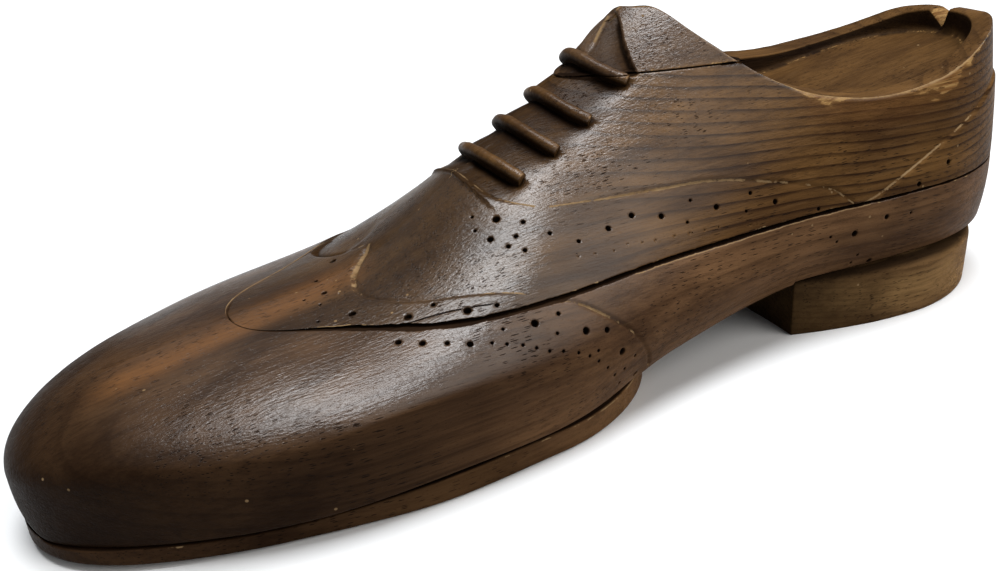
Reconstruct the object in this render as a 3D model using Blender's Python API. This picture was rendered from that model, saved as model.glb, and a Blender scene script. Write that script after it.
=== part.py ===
"""Carved wooden shoe: a lace-up oxford with a wing tip, cut from glued boards.

The toe points to -X, the heel to +X, and +Z is up. The origin is on the
surface that the shoe stands on, below the middle of its length.
Lengths in the tables are millimetres; meshes are made in metres.
"""
import math

import bmesh
import bpy

MM = 0.001
SHOE_NAME = "carved_shoe"

# Driving dimensions, millimetres
LENGTH = 300.0
LOWER_JOINT = 38.8      # height of the long joint between lower and upper board
UPPER_JOINT = 80.5      # height of the short joint under the tongue block
HEEL_TOP = 17.6         # height of the joint between heel and lower board
SEAM = 1.0              # opening of each glued joint
GLUE = 0.4              # thickness of the cured glue inside it
GLUE_INSET = 3.5        # how far the glue stays back from the carved surface
GLUE_LEAST_WIDTH = 1.0
TONGUE_END_X = 62.0     # the tongue block lies in front of this

# Cross sections, at these fractions of the length from the toe
STATION = (0.00, 0.08, 0.18, 0.30, 0.42, 0.55, 0.68, 0.80, 0.90, 1.00)
HALF_NEAR = (40.3, 44.7, 49.5, 50.8, 49.1, 44.1, 38.1, 36.1, 36.0, 35.3)
HALF_FAR = (39.8, 43.8, 48.7, 51.8, 50.3, 44.5, 38.0, 35.3, 34.6, 33.8)
RIDGE_Y = (-6.8, -3.8, -1.0, 0.0, 1.4, 4.7, 2.7, -1.4, -1.4, -1.4)
CROWN_STATION = (0.00, 0.08, 0.18, 0.30, 0.42, 0.50, 0.54, 0.58, 0.68, 0.80, 0.90, 1.00)
CROWN = (33.4, 34.6, 38.6, 44.0, 65.5, 78.9, 87.5, 95.6, 107.4, 117.6, 126.7, 132.7)
BASE = (5.8, 5.8, 6.0, 7.4, 7.7, 9.4, 16.2, 18.1, 18.1, 18.1)
WIDEST = (22.0, 22.8, 24.4, 27.3, 24.0, 25.4, 31.9, 36.3, 37.6, 38.3)
WALL_NEAR_PULL = (0.64, 0.61, 0.57, 0.47, 0.36, 0.32, 0.40, 0.49, 0.59, 0.63)
CROWN_NEAR_PULL = (0.64, 0.61, 0.58, 0.46, 0.32, 0.22, 0.35, 0.49, 0.59, 0.63)
WALL_FAR_PULL = (0.60, 0.57, 0.52, 0.59, 0.35, 0.31, 0.40, 0.50, 0.55, 0.55)
CROWN_FAR_PULL = (0.60, 0.57, 0.51, 0.32, 0.31, 0.29, 0.40, 0.50, 0.55, 0.55)
TUCK = (0.06, 0.06, 0.05, 0.03, 0.04, 0.20, 0.16, 0.11, 0.10, 0.10)

# Rounding in plan and in profile: reach as a fraction of length, and power
TOE_PLAN = (0.26, 2.11)
HEEL_PLAN = (0.16, 1.95)
TOE_PROFILE = (0.10, 2.0)
HEEL_PROFILE = (0.13, 2.0)
TOE_UNDERSIDE = (0.02, 2.0)
HEEL_UNDERSIDE = (0.05, 2.0)
TOE_TIP_Z = 18.7
HEEL_TIP_Z = 35.2

# Height of the top edge: rear slope of the tongue, then the foot opening's rim
RIM_STATION = (0.57, 0.585, 0.60, 0.62, 0.64, 0.66, 0.68, 0.70, 0.74, 0.84, 0.93, 0.96, 1.00)
RIM_NEAR = (108.0, 104.7, 100.1, 89.9, 83.2, 77.8, 74.0, 71.0, 68.0, 69.0, 77.7, 80.0, 77.0)
RIM_FAR = (90.0, 88.0, 90.0, 88.0, 84.0, 80.0, 77.0, 75.0, 72.8, 71.3, 75.1, 78.6, 80.3)
RIM_SPAN = 64.0         # distance between the two sides that the heights are for
RIM_CUT_END = 1.03      # the cut runs past the heel to this station
RIM_CUT_HALF = 60.0
RIM_CUT_TOP = 160.0
RIM_CUT_STEPS = 28

# Carved outsole
SOLE_START = 1.0        # millimetres behind the toe's furthest point
SOLE_PLAN = (0.225, 2.1)
SOLE_STATION = (0.00, 0.08, 0.18, 0.30, 0.42, 0.55)
SOLE_HALF = (41.2, 40.9, 43.7, 48.2, 45.2, 41.5)
SOLE_EDGE = (4.5, 4.3, 4.1, 6.1, 6.1, 6.1)
TOE_SPRING = 2.4
SPRING_END = 0.34       # the sole lies flat behind this station
SOLE_END_X = 16.2
SOLE_END_ROUND = (45.0, 2.0)    # rounded rear end, in plan: length and power
WELT_DEPTH = 2.0        # depth of the carved groove above the outsole
CORE_ABOVE_BOTTOM = 1.0 # the core behind the groove starts this far up
CORE_OVERLAP = 2.0      # and runs this far into the body
CORE_LEAST_HEIGHT = 2.0
MIDDLE_TURN = (0.30, 0.60)  # the middle line turns from ridge to heel here
SOLE_LEAST_HALF = 0.4

# Heel block
HEEL_FRONT_X = 57.3
HEEL_BACK_X = 140.0
HEEL_MIDDLE_Y = -1.4
HEEL_HALF_FRONT = 26.8
HEEL_HALF_BACK = 36.0
HEEL_WIDENING = 45.0    # length over which it reaches the back's width
HEEL_ROUND = (44.0, 2.1)    # rounded back, in plan: length and power
BREAST_CURVE = 1.8      # how far the front face is hollowed
HEEL_FLARE = 0.8        # how much the top is wider than the bottom, each side
HEEL_LEAST_HALF = 0.5

# Foot opening
POCKET_FRONT_X = 60.0
POCKET_BACK_X = 139.5
POCKET_FLOOR_FRONT = 61.5
POCKET_FLOOR_BACK = 72.5
POCKET_DRAFT = 2.0      # how much narrower the floor is, each side
POCKET_FRONT_ROUND = (22.0, 2.2)
POCKET_BACK_ROUND = (36.0, 2.2)
POCKET_WIDE_END = 0.84  # behind this station the plan only rounds off
POCKET_CUT_HEIGHT = 30.0
POCKET_LEAST_STEP = 0.05
WALL_NEAR = 6.0
WALL_FAR = 8.0

# Lace bars: place along the shoe at the ridge, and how far they lean back
LACE_X = (-24.2, -13.7, -3.4, 9.8)
LACE_LEAN = 9.5
LACE_REACH = 16.5       # from the ridge to each end
LACE_RADIUS = 2.3
LACE_SINK = 0.8

# Where each glue film runs, as fractions of the length
LOWER_GLUE_STATIONS = (0.235, 0.982)
UPPER_GLUE_STATIONS = (0.51, 0.635)

SIDE_STEPS = 6
ARCH_STEPS = 12
LENGTH_STEPS = 60
END_STATION = 0.0002    # the first and last ring stay this far from the tips
SEARCH_STEPS = 30       # halvings that find a point on an arch
BIG = 200.0             # a cutter this size passes every side of the shoe

# Colour and roughness
WALNUT = ((0.085, 0.045, 0.026, 1.0), 0.32)
DARK_WALNUT = ((0.070, 0.036, 0.022, 1.0), 0.30)
HEEL_TAN = ((0.150, 0.092, 0.045, 1.0), 0.42)
OLD_GLUE = ((0.48, 0.38, 0.22, 1.0), 0.60)


def smooth(table, u, stations=STATION):
    """Value at station u of a smooth curve through a table."""
    slopes = [
        (table[i + 1] - table[i]) / (stations[i + 1] - stations[i])
        for i in range(len(table) - 1)
    ]
    tangents = [slopes[0]]
    for i in range(1, len(slopes)):
        before = stations[i] - stations[i - 1]
        after = stations[i + 1] - stations[i]
        tangents.append((slopes[i - 1] * after + slopes[i] * before) / (before + after))
    tangents.append(slopes[-1])
    u = min(max(u, stations[0]), stations[-1])
    i = 0
    while i < len(stations) - 2 and u > stations[i + 1]:
        i += 1
    step = stations[i + 1] - stations[i]
    t = (u - stations[i]) / step
    return (
        (1 + 2 * t) * (1 - t) ** 2 * table[i]
        + t * (1 - t) ** 2 * step * tangents[i]
        + t * t * (3 - 2 * t) * table[i + 1]
        + t * t * (t - 1) * step * tangents[i + 1]
    )


def rounded(distance, reach, power):
    """0 at an end and 1 from reach on, with a rounded quarter between."""
    t = min(max(distance / reach, 0.0), 1.0)
    return (1 - (1 - t) ** power) ** (1 / power)


def ease(t):
    """0 to 1 with level ends."""
    t = min(max(t, 0.0), 1.0)
    return t * t * (3 - 2 * t)


def x_at(u):
    return LENGTH * (u - 0.5)


def u_at(x):
    return x / LENGTH + 0.5


def section(u):
    """The carved body's cross section at station u."""
    plan = rounded(u, *TOE_PLAN) * rounded(1 - u, *HEEL_PLAN)
    toe_top = rounded(u, *TOE_PROFILE)
    heel_top = rounded(1 - u, *HEEL_PROFILE)

    def ends(height):
        height = TOE_TIP_Z + (height - TOE_TIP_Z) * toe_top
        return HEEL_TIP_Z + (height - HEEL_TIP_Z) * heel_top

    base = TOE_TIP_Z + (smooth(BASE, u) - TOE_TIP_Z) * rounded(u, *TOE_UNDERSIDE)
    base = HEEL_TIP_Z + (base - HEEL_TIP_Z) * rounded(1 - u, *HEEL_UNDERSIDE)
    crown = ends(smooth(CROWN, u, CROWN_STATION))
    widest = min(max(ends(smooth(WIDEST, u)), base + 0.01), crown - 0.01)
    return {
        "near": max(smooth(HALF_NEAR, u) * plan, 0.05),
        "far": max(smooth(HALF_FAR, u) * plan, 0.05),
        "ridge": smooth(RIDGE_Y, u),
        "crown": crown,
        "base": base,
        "widest": widest,
        "near_pulls": (smooth(WALL_NEAR_PULL, u), smooth(CROWN_NEAR_PULL, u)),
        "far_pulls": (smooth(WALL_FAR_PULL, u), smooth(CROWN_FAR_PULL, u)),
        "tuck": smooth(TUCK, u),
    }


def arch(t, wall_pull, crown_pull):
    """Quarter arch from (1, 0), rising upright, to (0, 1), arriving level."""
    out = (1 - t) ** 3 + 3 * (1 - t) ** 2 * t + 3 * (1 - t) * t * t * crown_pull
    up = 3 * (1 - t) ** 2 * t * wall_pull + 3 * (1 - t) * t * t + t ** 3
    return out, up


def half_ring(cut, half, pulls):
    """Points (distance from the ridge, height) up one side to the crown."""
    points = []
    for i in range(SIDE_STEPS):
        v = i / SIDE_STEPS
        points.append((
            half * (1 - cut["tuck"] * (1 - v) ** 2),
            cut["base"] + v * (cut["widest"] - cut["base"]),
        ))
    for i in range(ARCH_STEPS + 1):
        out, up = arch(i / ARCH_STEPS, *pulls)
        points.append((half * out, cut["widest"] + up * (cut["crown"] - cut["widest"])))
    return points


def body_ring(u):
    """Closed ring of points round the body at station u."""
    cut = section(u)
    x = x_at(u)
    far_half = half_ring(cut, cut["far"], cut["far_pulls"])
    near_half = half_ring(cut, cut["near"], cut["near_pulls"])
    far = [(x, cut["ridge"] + y, z) for y, z in far_half]
    near = [(x, cut["ridge"] - y, z) for y, z in near_half]
    return far + near[-2::-1]


def breadth(u, z, side):
    """Y of the carved side at station u and height z; side is -1 near, 1 far."""
    cut = section(u)
    half = cut["near"] if side < 0 else cut["far"]
    pulls = cut["near_pulls"] if side < 0 else cut["far_pulls"]
    if z < cut["widest"]:
        v = max((z - cut["base"]) / (cut["widest"] - cut["base"]), 0.0)
        return cut["ridge"] + side * half * (1 - cut["tuck"] * (1 - v) ** 2)
    rise = min((z - cut["widest"]) / (cut["crown"] - cut["widest"]), 1.0)
    low, high = 0.0, 1.0
    for _ in range(SEARCH_STEPS):
        middle = 0.5 * (low + high)
        if arch(middle, *pulls)[1] > rise:
            high = middle
        else:
            low = middle
    return cut["ridge"] + side * half * arch(low, *pulls)[0]


def rim_height(u, side):
    return smooth(RIM_NEAR if side < 0 else RIM_FAR, u, RIM_STATION)


def spring(u):
    """How far the outsole lifts at the toe."""
    return TOE_SPRING * max((SPRING_END - u) / SPRING_END, 0.0) ** 2


def middle_at(u):
    """Middle line of the outsole: under the ridge in front, over the heel's behind."""
    leave = ease((u - MIDDLE_TURN[0]) / (MIDDLE_TURN[1] - MIDDLE_TURN[0]))
    return smooth(RIDGE_Y, u) * (1 - leave) + HEEL_MIDDLE_Y * leave


def sole_top(u):
    return spring(u) + smooth(SOLE_EDGE, u, SOLE_STATION)


def core_top(u):
    least = spring(u) + CORE_ABOVE_BOTTOM + CORE_LEAST_HEIGHT
    return max(smooth(BASE, u), least) + CORE_OVERLAP


def new_collection(name):
    collection = bpy.data.collections.new(name)
    bpy.context.scene.collection.children.link(collection)
    return collection


def finish(name, colour, roughness):
    material = bpy.data.materials.new(name)
    material.use_nodes = True
    shader = material.node_tree.nodes["Principled BSDF"]
    shader.inputs["Base Color"].default_value = colour
    shader.inputs["Roughness"].default_value = roughness
    shader.inputs["Metallic"].default_value = 0.0
    material.diffuse_color = colour
    return material


def loft(name, rings, collection, material=None):
    """Closed solid skinned through rings of equal point counts."""
    bm = bmesh.new()
    rows = [[bm.verts.new([c * MM for c in point]) for point in ring] for ring in rings]
    for row, after in zip(rows, rows[1:]):
        for i, corner in enumerate(row):
            j = (i + 1) % len(row)
            bm.faces.new((corner, row[j], after[j], after[i]))
    bm.faces.new(rows[0])
    bm.faces.new(rows[-1])
    bmesh.ops.recalc_face_normals(bm, faces=bm.faces)
    mesh = bpy.data.meshes.new(name)
    bm.to_mesh(mesh)
    bm.free()
    thing = bpy.data.objects.new(name, mesh)
    if material:
        mesh.materials.append(material)
    collection.objects.link(thing)
    return thing


def as_cutter(thing):
    thing.hide_render = True
    thing.display_type = "WIRE"
    return thing


def box(name, low, high, collection):
    """Cutter box between two corners, in millimetres."""
    bm = bmesh.new()
    bmesh.ops.create_cube(bm, size=1.0)
    for vert in bm.verts:
        for axis in range(3):
            span = high[axis] - low[axis]
            vert.co[axis] = (low[axis] + (vert.co[axis] + 0.5) * span) * MM
    mesh = bpy.data.meshes.new(name)
    bm.to_mesh(mesh)
    bm.free()
    thing = bpy.data.objects.new(name, mesh)
    collection.objects.link(thing)
    return as_cutter(thing)


def combine(thing, other, operation):
    """Add a live Boolean with another solid."""
    modifier = thing.modifiers.new(other.name, "BOOLEAN")
    modifier.operation = operation
    modifier.solver = "EXACT"
    modifier.object = other


def body_form(name, collection, material):
    """The whole carved body as one loft, before it is cut into boards."""
    rings = []
    for i in range(LENGTH_STEPS + 1):
        u = 0.5 - 0.5 * math.cos(math.pi * i / LENGTH_STEPS)
        rings.append(body_ring(min(max(u, END_STATION), 1 - END_STATION)))
    return loft(name, rings, collection, material)


def sole_plate(name, inset, low, high, collection):
    """Slab with the outsole's outline; low and high are heights at a station."""
    rings = []
    start = SOLE_START + inset
    end = SOLE_END_X - inset
    first = x_at(0) + start
    for i in range(LENGTH_STEPS // 2 + 1):
        t = 0.5 - 0.5 * math.cos(math.pi * i / (LENGTH_STEPS // 2))
        x = first + (end - first) * t
        u = u_at(x)
        half = smooth(SOLE_HALF, u, SOLE_STATION)
        half *= rounded((x - first) / LENGTH, *SOLE_PLAN) * rounded(end - x, *SOLE_END_ROUND)
        half = max(half - inset, SOLE_LEAST_HALF)
        middle = middle_at(u)
        rings.append([
            (x, middle - half, low(u)),
            (x, middle + half, low(u)),
            (x, middle + half, high(u)),
            (x, middle - half, high(u)),
        ])
    return as_cutter(loft(name, rings, collection))


def above_rim(collection):
    """Everything over the tongue's rear slope and the opening's rim."""
    rings = []
    for i in range(RIM_CUT_STEPS + 1):
        u = RIM_STATION[0] + (RIM_CUT_END - RIM_STATION[0]) * i / RIM_CUT_STEPS
        near = rim_height(u, -1)
        far = rim_height(u, 1)
        beyond = (far - near) / RIM_SPAN * (RIM_CUT_HALF - RIM_SPAN / 2)
        rings.append([
            (x_at(u), -RIM_CUT_HALF, near - beyond),
            (x_at(u), RIM_CUT_HALF, far + beyond),
            (x_at(u), RIM_CUT_HALF, RIM_CUT_TOP),
            (x_at(u), -RIM_CUT_HALF, RIM_CUT_TOP),
        ])
    return as_cutter(loft("cut_above_rim", rings, collection))


def pocket_outline(shrink):
    """Plan of the foot opening, from its near front round the back."""
    count = 15
    near = []
    far = []
    for i in range(count + 1):
        t = 0.5 - 0.5 * math.cos(math.pi * i / count)
        x = POCKET_FRONT_X + shrink + t * (POCKET_BACK_X - POCKET_FRONT_X - 2 * shrink)
        u = u_at(x)
        plan = rounded(x - POCKET_FRONT_X - shrink + POCKET_LEAST_STEP, *POCKET_FRONT_ROUND)
        plan *= rounded(POCKET_BACK_X - shrink - x + POCKET_LEAST_STEP, *POCKET_BACK_ROUND)
        wide = min(u, POCKET_WIDE_END)
        inner_near = -breadth(wide, rim_height(wide, -1), -1) - WALL_NEAR - shrink
        inner_far = breadth(wide, rim_height(wide, 1), 1) - WALL_FAR - shrink
        near.append((x, HEEL_MIDDLE_Y - (inner_near + HEEL_MIDDLE_Y) * plan))
        far.append((x, HEEL_MIDDLE_Y + (inner_far - HEEL_MIDDLE_Y) * plan))
    return near + far[::-1]


def foot_pocket(collection):
    def floor(x):
        t = (x - POCKET_FRONT_X) / (POCKET_BACK_X - POCKET_FRONT_X)
        return POCKET_FLOOR_FRONT + t * (POCKET_FLOOR_BACK - POCKET_FLOOR_FRONT)

    bottom = [(x, y, floor(x)) for x, y in pocket_outline(POCKET_DRAFT)]
    top = [(x, y, floor(x) + POCKET_CUT_HEIGHT) for x, y in pocket_outline(-POCKET_DRAFT)]
    return as_cutter(loft("cut_foot_pocket", [bottom, top], collection))


def lace_bar(index, x_ridge, collection):
    """One raised bar across the ridge, part of the board it is carved from."""
    curve = bpy.data.curves.new("lace_bar", "CURVE")
    curve.dimensions = "3D"
    curve.bevel_depth = LACE_RADIUS * MM
    curve.bevel_resolution = 2
    curve.use_fill_caps = True
    spline = curve.splines.new("POLY")
    count = 13
    spline.points.add(count - 1)
    for i in range(count):
        across = -LACE_REACH + 2 * LACE_REACH * i / (count - 1)
        x = x_ridge + LACE_LEAN * (across / LACE_REACH) ** 2
        cut = section(u_at(x))
        z = surface_height(cut, across)
        spline.points[i].co = (
            x * MM, (cut["ridge"] + across) * MM, (z - LACE_SINK) * MM, 1.0)
    thing = bpy.data.objects.new("lace_bar_curve", curve)
    collection.objects.link(thing)
    bpy.context.view_layer.update()
    evaluated = thing.evaluated_get(bpy.context.evaluated_depsgraph_get())
    mesh = bpy.data.meshes.new_from_object(evaluated)
    bm = bmesh.new()
    bm.from_mesh(mesh)
    bmesh.ops.remove_doubles(bm, verts=bm.verts, dist=0.00001)
    bmesh.ops.recalc_face_normals(bm, faces=bm.faces)
    bm.to_mesh(mesh)
    bm.free()
    solid = bpy.data.objects.new(f"lace_bar_{index}", mesh)
    solid.matrix_world = thing.matrix_world
    collection.objects.link(solid)
    bpy.data.objects.remove(thing)
    return as_cutter(solid)


def surface_height(cut, across):
    """Height of the body over a distance from the ridge, negative is near."""
    half = cut["near"] if across < 0 else cut["far"]
    pulls = cut["near_pulls"] if across < 0 else cut["far_pulls"]
    low, high = 0.0, 1.0
    for _ in range(SEARCH_STEPS):
        middle = 0.5 * (low + high)
        if arch(middle, *pulls)[0] * half > abs(across):
            low = middle
        else:
            high = middle
    up = arch(low, *pulls)[1]
    return cut["widest"] + up * (cut["crown"] - cut["widest"])


def joint_outline(z, first_u, last_u):
    """Outline of the body at one height, set in from its surface for the glue."""
    near = []
    far = []
    count = 26
    for i in range(count + 1):
        t = 0.5 - 0.5 * math.cos(math.pi * i / count)
        u = first_u + t * (last_u - first_u)
        left = breadth(u, z, -1) + GLUE_INSET
        right = breadth(u, z, 1) - GLUE_INSET
        if right - left > GLUE_LEAST_WIDTH:
            near.append((x_at(u), left))
            far.append((x_at(u), right))
    return near + far[::-1]


def flat_plate(name, outline, low, high, collection, material):
    rings = [[(x, y, z) for x, y in outline] for z in (low, high)]
    return loft(name, rings, collection, material)


def heel_outline(grow):
    """Plan of the heel, from its near front corner round the back."""
    count = 16
    near = []
    far = []
    back = HEEL_BACK_X + grow
    for i in range(count + 1):
        t = 1 - (1 - i / count) ** 2
        x = HEEL_FRONT_X + t * (back - HEEL_FRONT_X)
        spread = rounded(x - HEEL_FRONT_X, HEEL_WIDENING, 2.0) ** 2
        half = HEEL_HALF_FRONT + (HEEL_HALF_BACK - HEEL_HALF_FRONT) * spread
        half = (half + grow) * rounded(back - x, *HEEL_ROUND)
        half = max(half, HEEL_LEAST_HALF)
        near.append((x, HEEL_MIDDLE_Y - half))
        far.append((x, HEEL_MIDDLE_Y + half))
    breast = []
    steps = 8
    for i in range(1, steps):
        across = 1 - 2 * i / steps
        hollow = BREAST_CURVE * (1 - across ** 2)
        breast.append((HEEL_FRONT_X + hollow, HEEL_MIDDLE_Y + across * (HEEL_HALF_FRONT + grow)))
    return near + far[::-1] + breast


def build():
    for thing in list(bpy.data.objects):
        bpy.data.objects.remove(thing)
    parts = new_collection(SHOE_NAME)
    cutters = new_collection("cutters")

    walnut = finish("walnut_stain", *WALNUT)
    dark = finish("walnut_stain_dark", *DARK_WALNUT)
    tan = finish("worn_heel", *HEEL_TAN)
    glue = finish("old_glue", *OLD_GLUE)

    outsole = sole_plate("add_outsole", 0.0, spring, sole_top, cutters)
    core = sole_plate(
        "add_welt_core", WELT_DEPTH, lambda u: spring(u) + CORE_ABOVE_BOTTOM,
        core_top, cutters)
    rim = above_rim(cutters)
    pocket = foot_pocket(cutters)
    laces = [lace_bar(i, x, cutters) for i, x in enumerate(LACE_X)]

    lower_top = LOWER_JOINT - SEAM / 2
    upper_bottom = LOWER_JOINT + SEAM / 2
    upper_top = UPPER_JOINT - SEAM / 2
    tongue_bottom = UPPER_JOINT + SEAM / 2
    seat = HEEL_TOP + SEAM / 2
    over_lower = box("cut_over_lower", (-BIG, -BIG, lower_top), (BIG, BIG, BIG), cutters)
    under_upper = box("cut_under_upper", (-BIG, -BIG, -BIG), (BIG, BIG, upper_bottom), cutters)
    over_front = box("cut_over_front", (-BIG, -BIG, upper_top), (TONGUE_END_X, BIG, BIG), cutters)
    tongue_room = box(
        "keep_tongue", (-BIG, -BIG, tongue_bottom), (TONGUE_END_X, BIG, BIG), cutters)
    heel_seat = box("cut_heel_seat", (HEEL_FRONT_X - SEAM, -BIG, -BIG), (BIG, BIG, seat), cutters)

    lower = body_form("lower_block", parts, walnut)
    combine(lower, core, "UNION")
    combine(lower, outsole, "UNION")
    combine(lower, over_lower, "DIFFERENCE")
    combine(lower, heel_seat, "DIFFERENCE")

    upper = body_form("upper_block", parts, walnut)
    combine(upper, under_upper, "DIFFERENCE")
    for bar in laces:
        combine(upper, bar, "UNION")
    combine(upper, rim, "DIFFERENCE")
    combine(upper, pocket, "DIFFERENCE")
    combine(upper, over_front, "DIFFERENCE")

    tongue = body_form("tongue_block", parts, dark)
    for bar in laces:
        combine(tongue, bar, "UNION")
    combine(tongue, rim, "DIFFERENCE")
    combine(tongue, tongue_room, "INTERSECT")

    heel_rings = [
        [(x, y, z) for x, y in heel_outline(grow)]
        for z, grow in ((0.0, 0.0), (HEEL_TOP - SEAM / 2, HEEL_FLARE))
    ]
    loft("heel_block", heel_rings, parts, tan)

    half_glue = GLUE / 2
    flat_plate(
        "lower_glue_line", joint_outline(LOWER_JOINT, *LOWER_GLUE_STATIONS),
        LOWER_JOINT - half_glue, LOWER_JOINT + half_glue, parts, glue)
    flat_plate(
        "upper_glue_line", joint_outline(UPPER_JOINT, *UPPER_GLUE_STATIONS),
        UPPER_JOINT - half_glue, UPPER_JOINT + half_glue, parts, glue)
    flat_plate(
        "heel_glue_line", heel_outline(-GLUE_INSET),
        HEEL_TOP - half_glue, HEEL_TOP + half_glue, parts, glue)


build()
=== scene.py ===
"""Looks of the carved wooden shoe, built round its packed boards.

Every board gets a finely meshed piece with the carving on it: brogue holes,
wing tip, facings, lace bars, counter, foot opening, wear and chips.
Lengths in the tables are millimetres; meshes are made in metres.
A place on the surface is (x, tape): x along the shoe, and the distance over
the surface from the uncut body's ridge, minus on the near side.
"""

import math

import bmesh
import bpy
import numpy as np
from mathutils import Matrix, Vector
from mathutils.kdtree import KDTree


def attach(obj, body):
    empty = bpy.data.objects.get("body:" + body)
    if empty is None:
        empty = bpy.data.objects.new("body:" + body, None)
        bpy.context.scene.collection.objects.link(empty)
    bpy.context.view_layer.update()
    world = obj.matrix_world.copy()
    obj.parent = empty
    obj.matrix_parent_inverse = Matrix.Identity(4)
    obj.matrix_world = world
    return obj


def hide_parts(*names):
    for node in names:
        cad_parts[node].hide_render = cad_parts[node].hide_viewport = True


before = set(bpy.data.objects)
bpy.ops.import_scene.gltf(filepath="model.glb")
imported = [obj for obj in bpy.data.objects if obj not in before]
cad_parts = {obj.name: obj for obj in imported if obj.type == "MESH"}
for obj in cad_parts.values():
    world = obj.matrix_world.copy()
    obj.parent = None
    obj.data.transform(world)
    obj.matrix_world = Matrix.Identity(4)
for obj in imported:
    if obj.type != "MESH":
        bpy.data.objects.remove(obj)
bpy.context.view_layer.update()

MM = 0.001
TINY = 1e-6
BODY = "root"

# Camera: place in millimetres, turns in radians, focal length in millimetres
CAMERA_PLACE = (-124.55, -231.09, 136.43)
CAMERA_YAW = 0.42083
CAMERA_PITCH = 0.40772
CAMERA_ROLL = 0.09303
CAMERA_LENS = 36.04
CAMERA_SENSOR = 36.0

# The carved body, as in the part's source
LENGTH = 300.0
LOWER_JOINT = 38.8
UPPER_JOINT = 80.5
HEEL_TOP = 17.6
SEAM = 1.0
TONGUE_END_X = 62.0
STATION = (0.00, 0.08, 0.18, 0.30, 0.42, 0.55, 0.68, 0.80, 0.90, 1.00)
HALF_NEAR = (40.3, 44.7, 49.5, 50.8, 49.1, 44.1, 38.1, 36.1, 36.0, 35.3)
HALF_FAR = (39.8, 43.8, 48.7, 51.8, 50.3, 44.5, 38.0, 35.3, 34.6, 33.8)
RIDGE_Y = (-6.8, -3.8, -1.0, 0.0, 1.4, 4.7, 2.7, -1.4, -1.4, -1.4)
CROWN_STATION = (0.00, 0.08, 0.18, 0.30, 0.42, 0.50, 0.54, 0.58, 0.68, 0.80, 0.90, 1.00)
CROWN = (33.4, 34.6, 38.6, 44.0, 65.5, 78.9, 87.5, 95.6, 107.4, 117.6, 126.7, 132.7)
BASE = (5.8, 5.8, 6.0, 7.4, 7.7, 9.4, 16.2, 18.1, 18.1, 18.1)
WIDEST = (22.0, 22.8, 24.4, 27.3, 24.0, 25.4, 31.9, 36.3, 37.6, 38.3)
WALL_NEAR_PULL = (0.64, 0.61, 0.57, 0.47, 0.36, 0.32, 0.40, 0.49, 0.59, 0.63)
CROWN_NEAR_PULL = (0.64, 0.61, 0.58, 0.46, 0.32, 0.22, 0.35, 0.49, 0.59, 0.63)
WALL_FAR_PULL = (0.60, 0.57, 0.52, 0.59, 0.35, 0.31, 0.40, 0.50, 0.55, 0.55)
CROWN_FAR_PULL = (0.60, 0.57, 0.51, 0.32, 0.31, 0.29, 0.40, 0.50, 0.55, 0.55)
TUCK = (0.06, 0.06, 0.05, 0.03, 0.04, 0.20, 0.16, 0.11, 0.10, 0.10)
TOE_PLAN = (0.26, 2.11)
HEEL_PLAN = (0.16, 1.95)
TOE_PROFILE = (0.10, 2.0)
HEEL_PROFILE = (0.13, 2.0)
TOE_UNDERSIDE = (0.02, 2.0)
HEEL_UNDERSIDE = (0.05, 2.0)
TOE_TIP_Z = 18.7
HEEL_TIP_Z = 35.2
RIM_STATION = (0.57, 0.585, 0.60, 0.62, 0.64, 0.66, 0.68, 0.70, 0.74, 0.84, 0.93, 0.96, 1.00)
RIM_NEAR = (108.0, 104.7, 100.1, 89.9, 83.2, 77.8, 74.0, 71.0, 68.0, 69.0, 77.7, 80.0, 77.0)
RIM_FAR = (90.0, 88.0, 90.0, 88.0, 84.0, 80.0, 77.0, 75.0, 72.8, 71.3, 75.1, 78.6, 80.3)
RIM_SPAN = 64.0
SOLE_START = 1.0
SOLE_PLAN = (0.225, 2.1)
SOLE_STATION = (0.00, 0.08, 0.18, 0.30, 0.42, 0.55)
SOLE_HALF = (41.2, 40.9, 43.7, 48.2, 45.2, 41.5)
SOLE_EDGE = (4.5, 4.3, 4.1, 6.1, 6.1, 6.1)
TOE_SPRING = 2.4
SPRING_END = 0.34
SOLE_END_X = 16.2
SOLE_END_ROUND = (45.0, 2.0)
WELT_DEPTH = 2.0
MIDDLE_TURN = (0.30, 0.60)
HEEL_FRONT_X = 57.3
HEEL_BACK_X = 140.0
HEEL_MIDDLE_Y = -1.4
HEEL_HALF_FRONT = 26.8
HEEL_HALF_BACK = 36.0
HEEL_WIDENING = 45.0
HEEL_ROUND = (44.0, 2.1)
BREAST_CURVE = 1.8
HEEL_FLARE = 0.8
POCKET_FRONT_X = 60.0
POCKET_BACK_X = 139.5
POCKET_FLOOR_FRONT = 61.5
POCKET_FLOOR_BACK = 72.5
POCKET_DRAFT = 2.0
POCKET_FRONT_ROUND = (22.0, 2.2)
POCKET_BACK_ROUND = (36.0, 2.2)
POCKET_WIDE_END = 0.84
POCKET_CUT_HEIGHT = 30.0
WALL_NEAR = 6.0
WALL_FAR = 8.0

# Heights of the flat faces in the joints
LOWER_TOP = LOWER_JOINT - SEAM / 2
UPPER_BOTTOM = LOWER_JOINT + SEAM / 2
UPPER_TOP = UPPER_JOINT - SEAM / 2
UPPER_LIP = UPPER_JOINT - 0.15
TONGUE_LIP = UPPER_JOINT + 0.15
SEAM_OPENS_X = 6.0      # in front of this, the upper joint is closed at its edge
TONGUE_BOTTOM = UPPER_JOINT + SEAM / 2

# Mesh fineness
FINE = 500              # samples round each half section, before points are chosen
STATION_SAMPLES = 2600
ROW_STEP = 0.5
TONGUE_STEP = 0.35
NEAR_COLUMNS = 124
FAR_COLUMNS = 56
EDGE = (0.0, 0.22, 0.5, 0.9)    # distances from an edge of its first points

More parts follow.
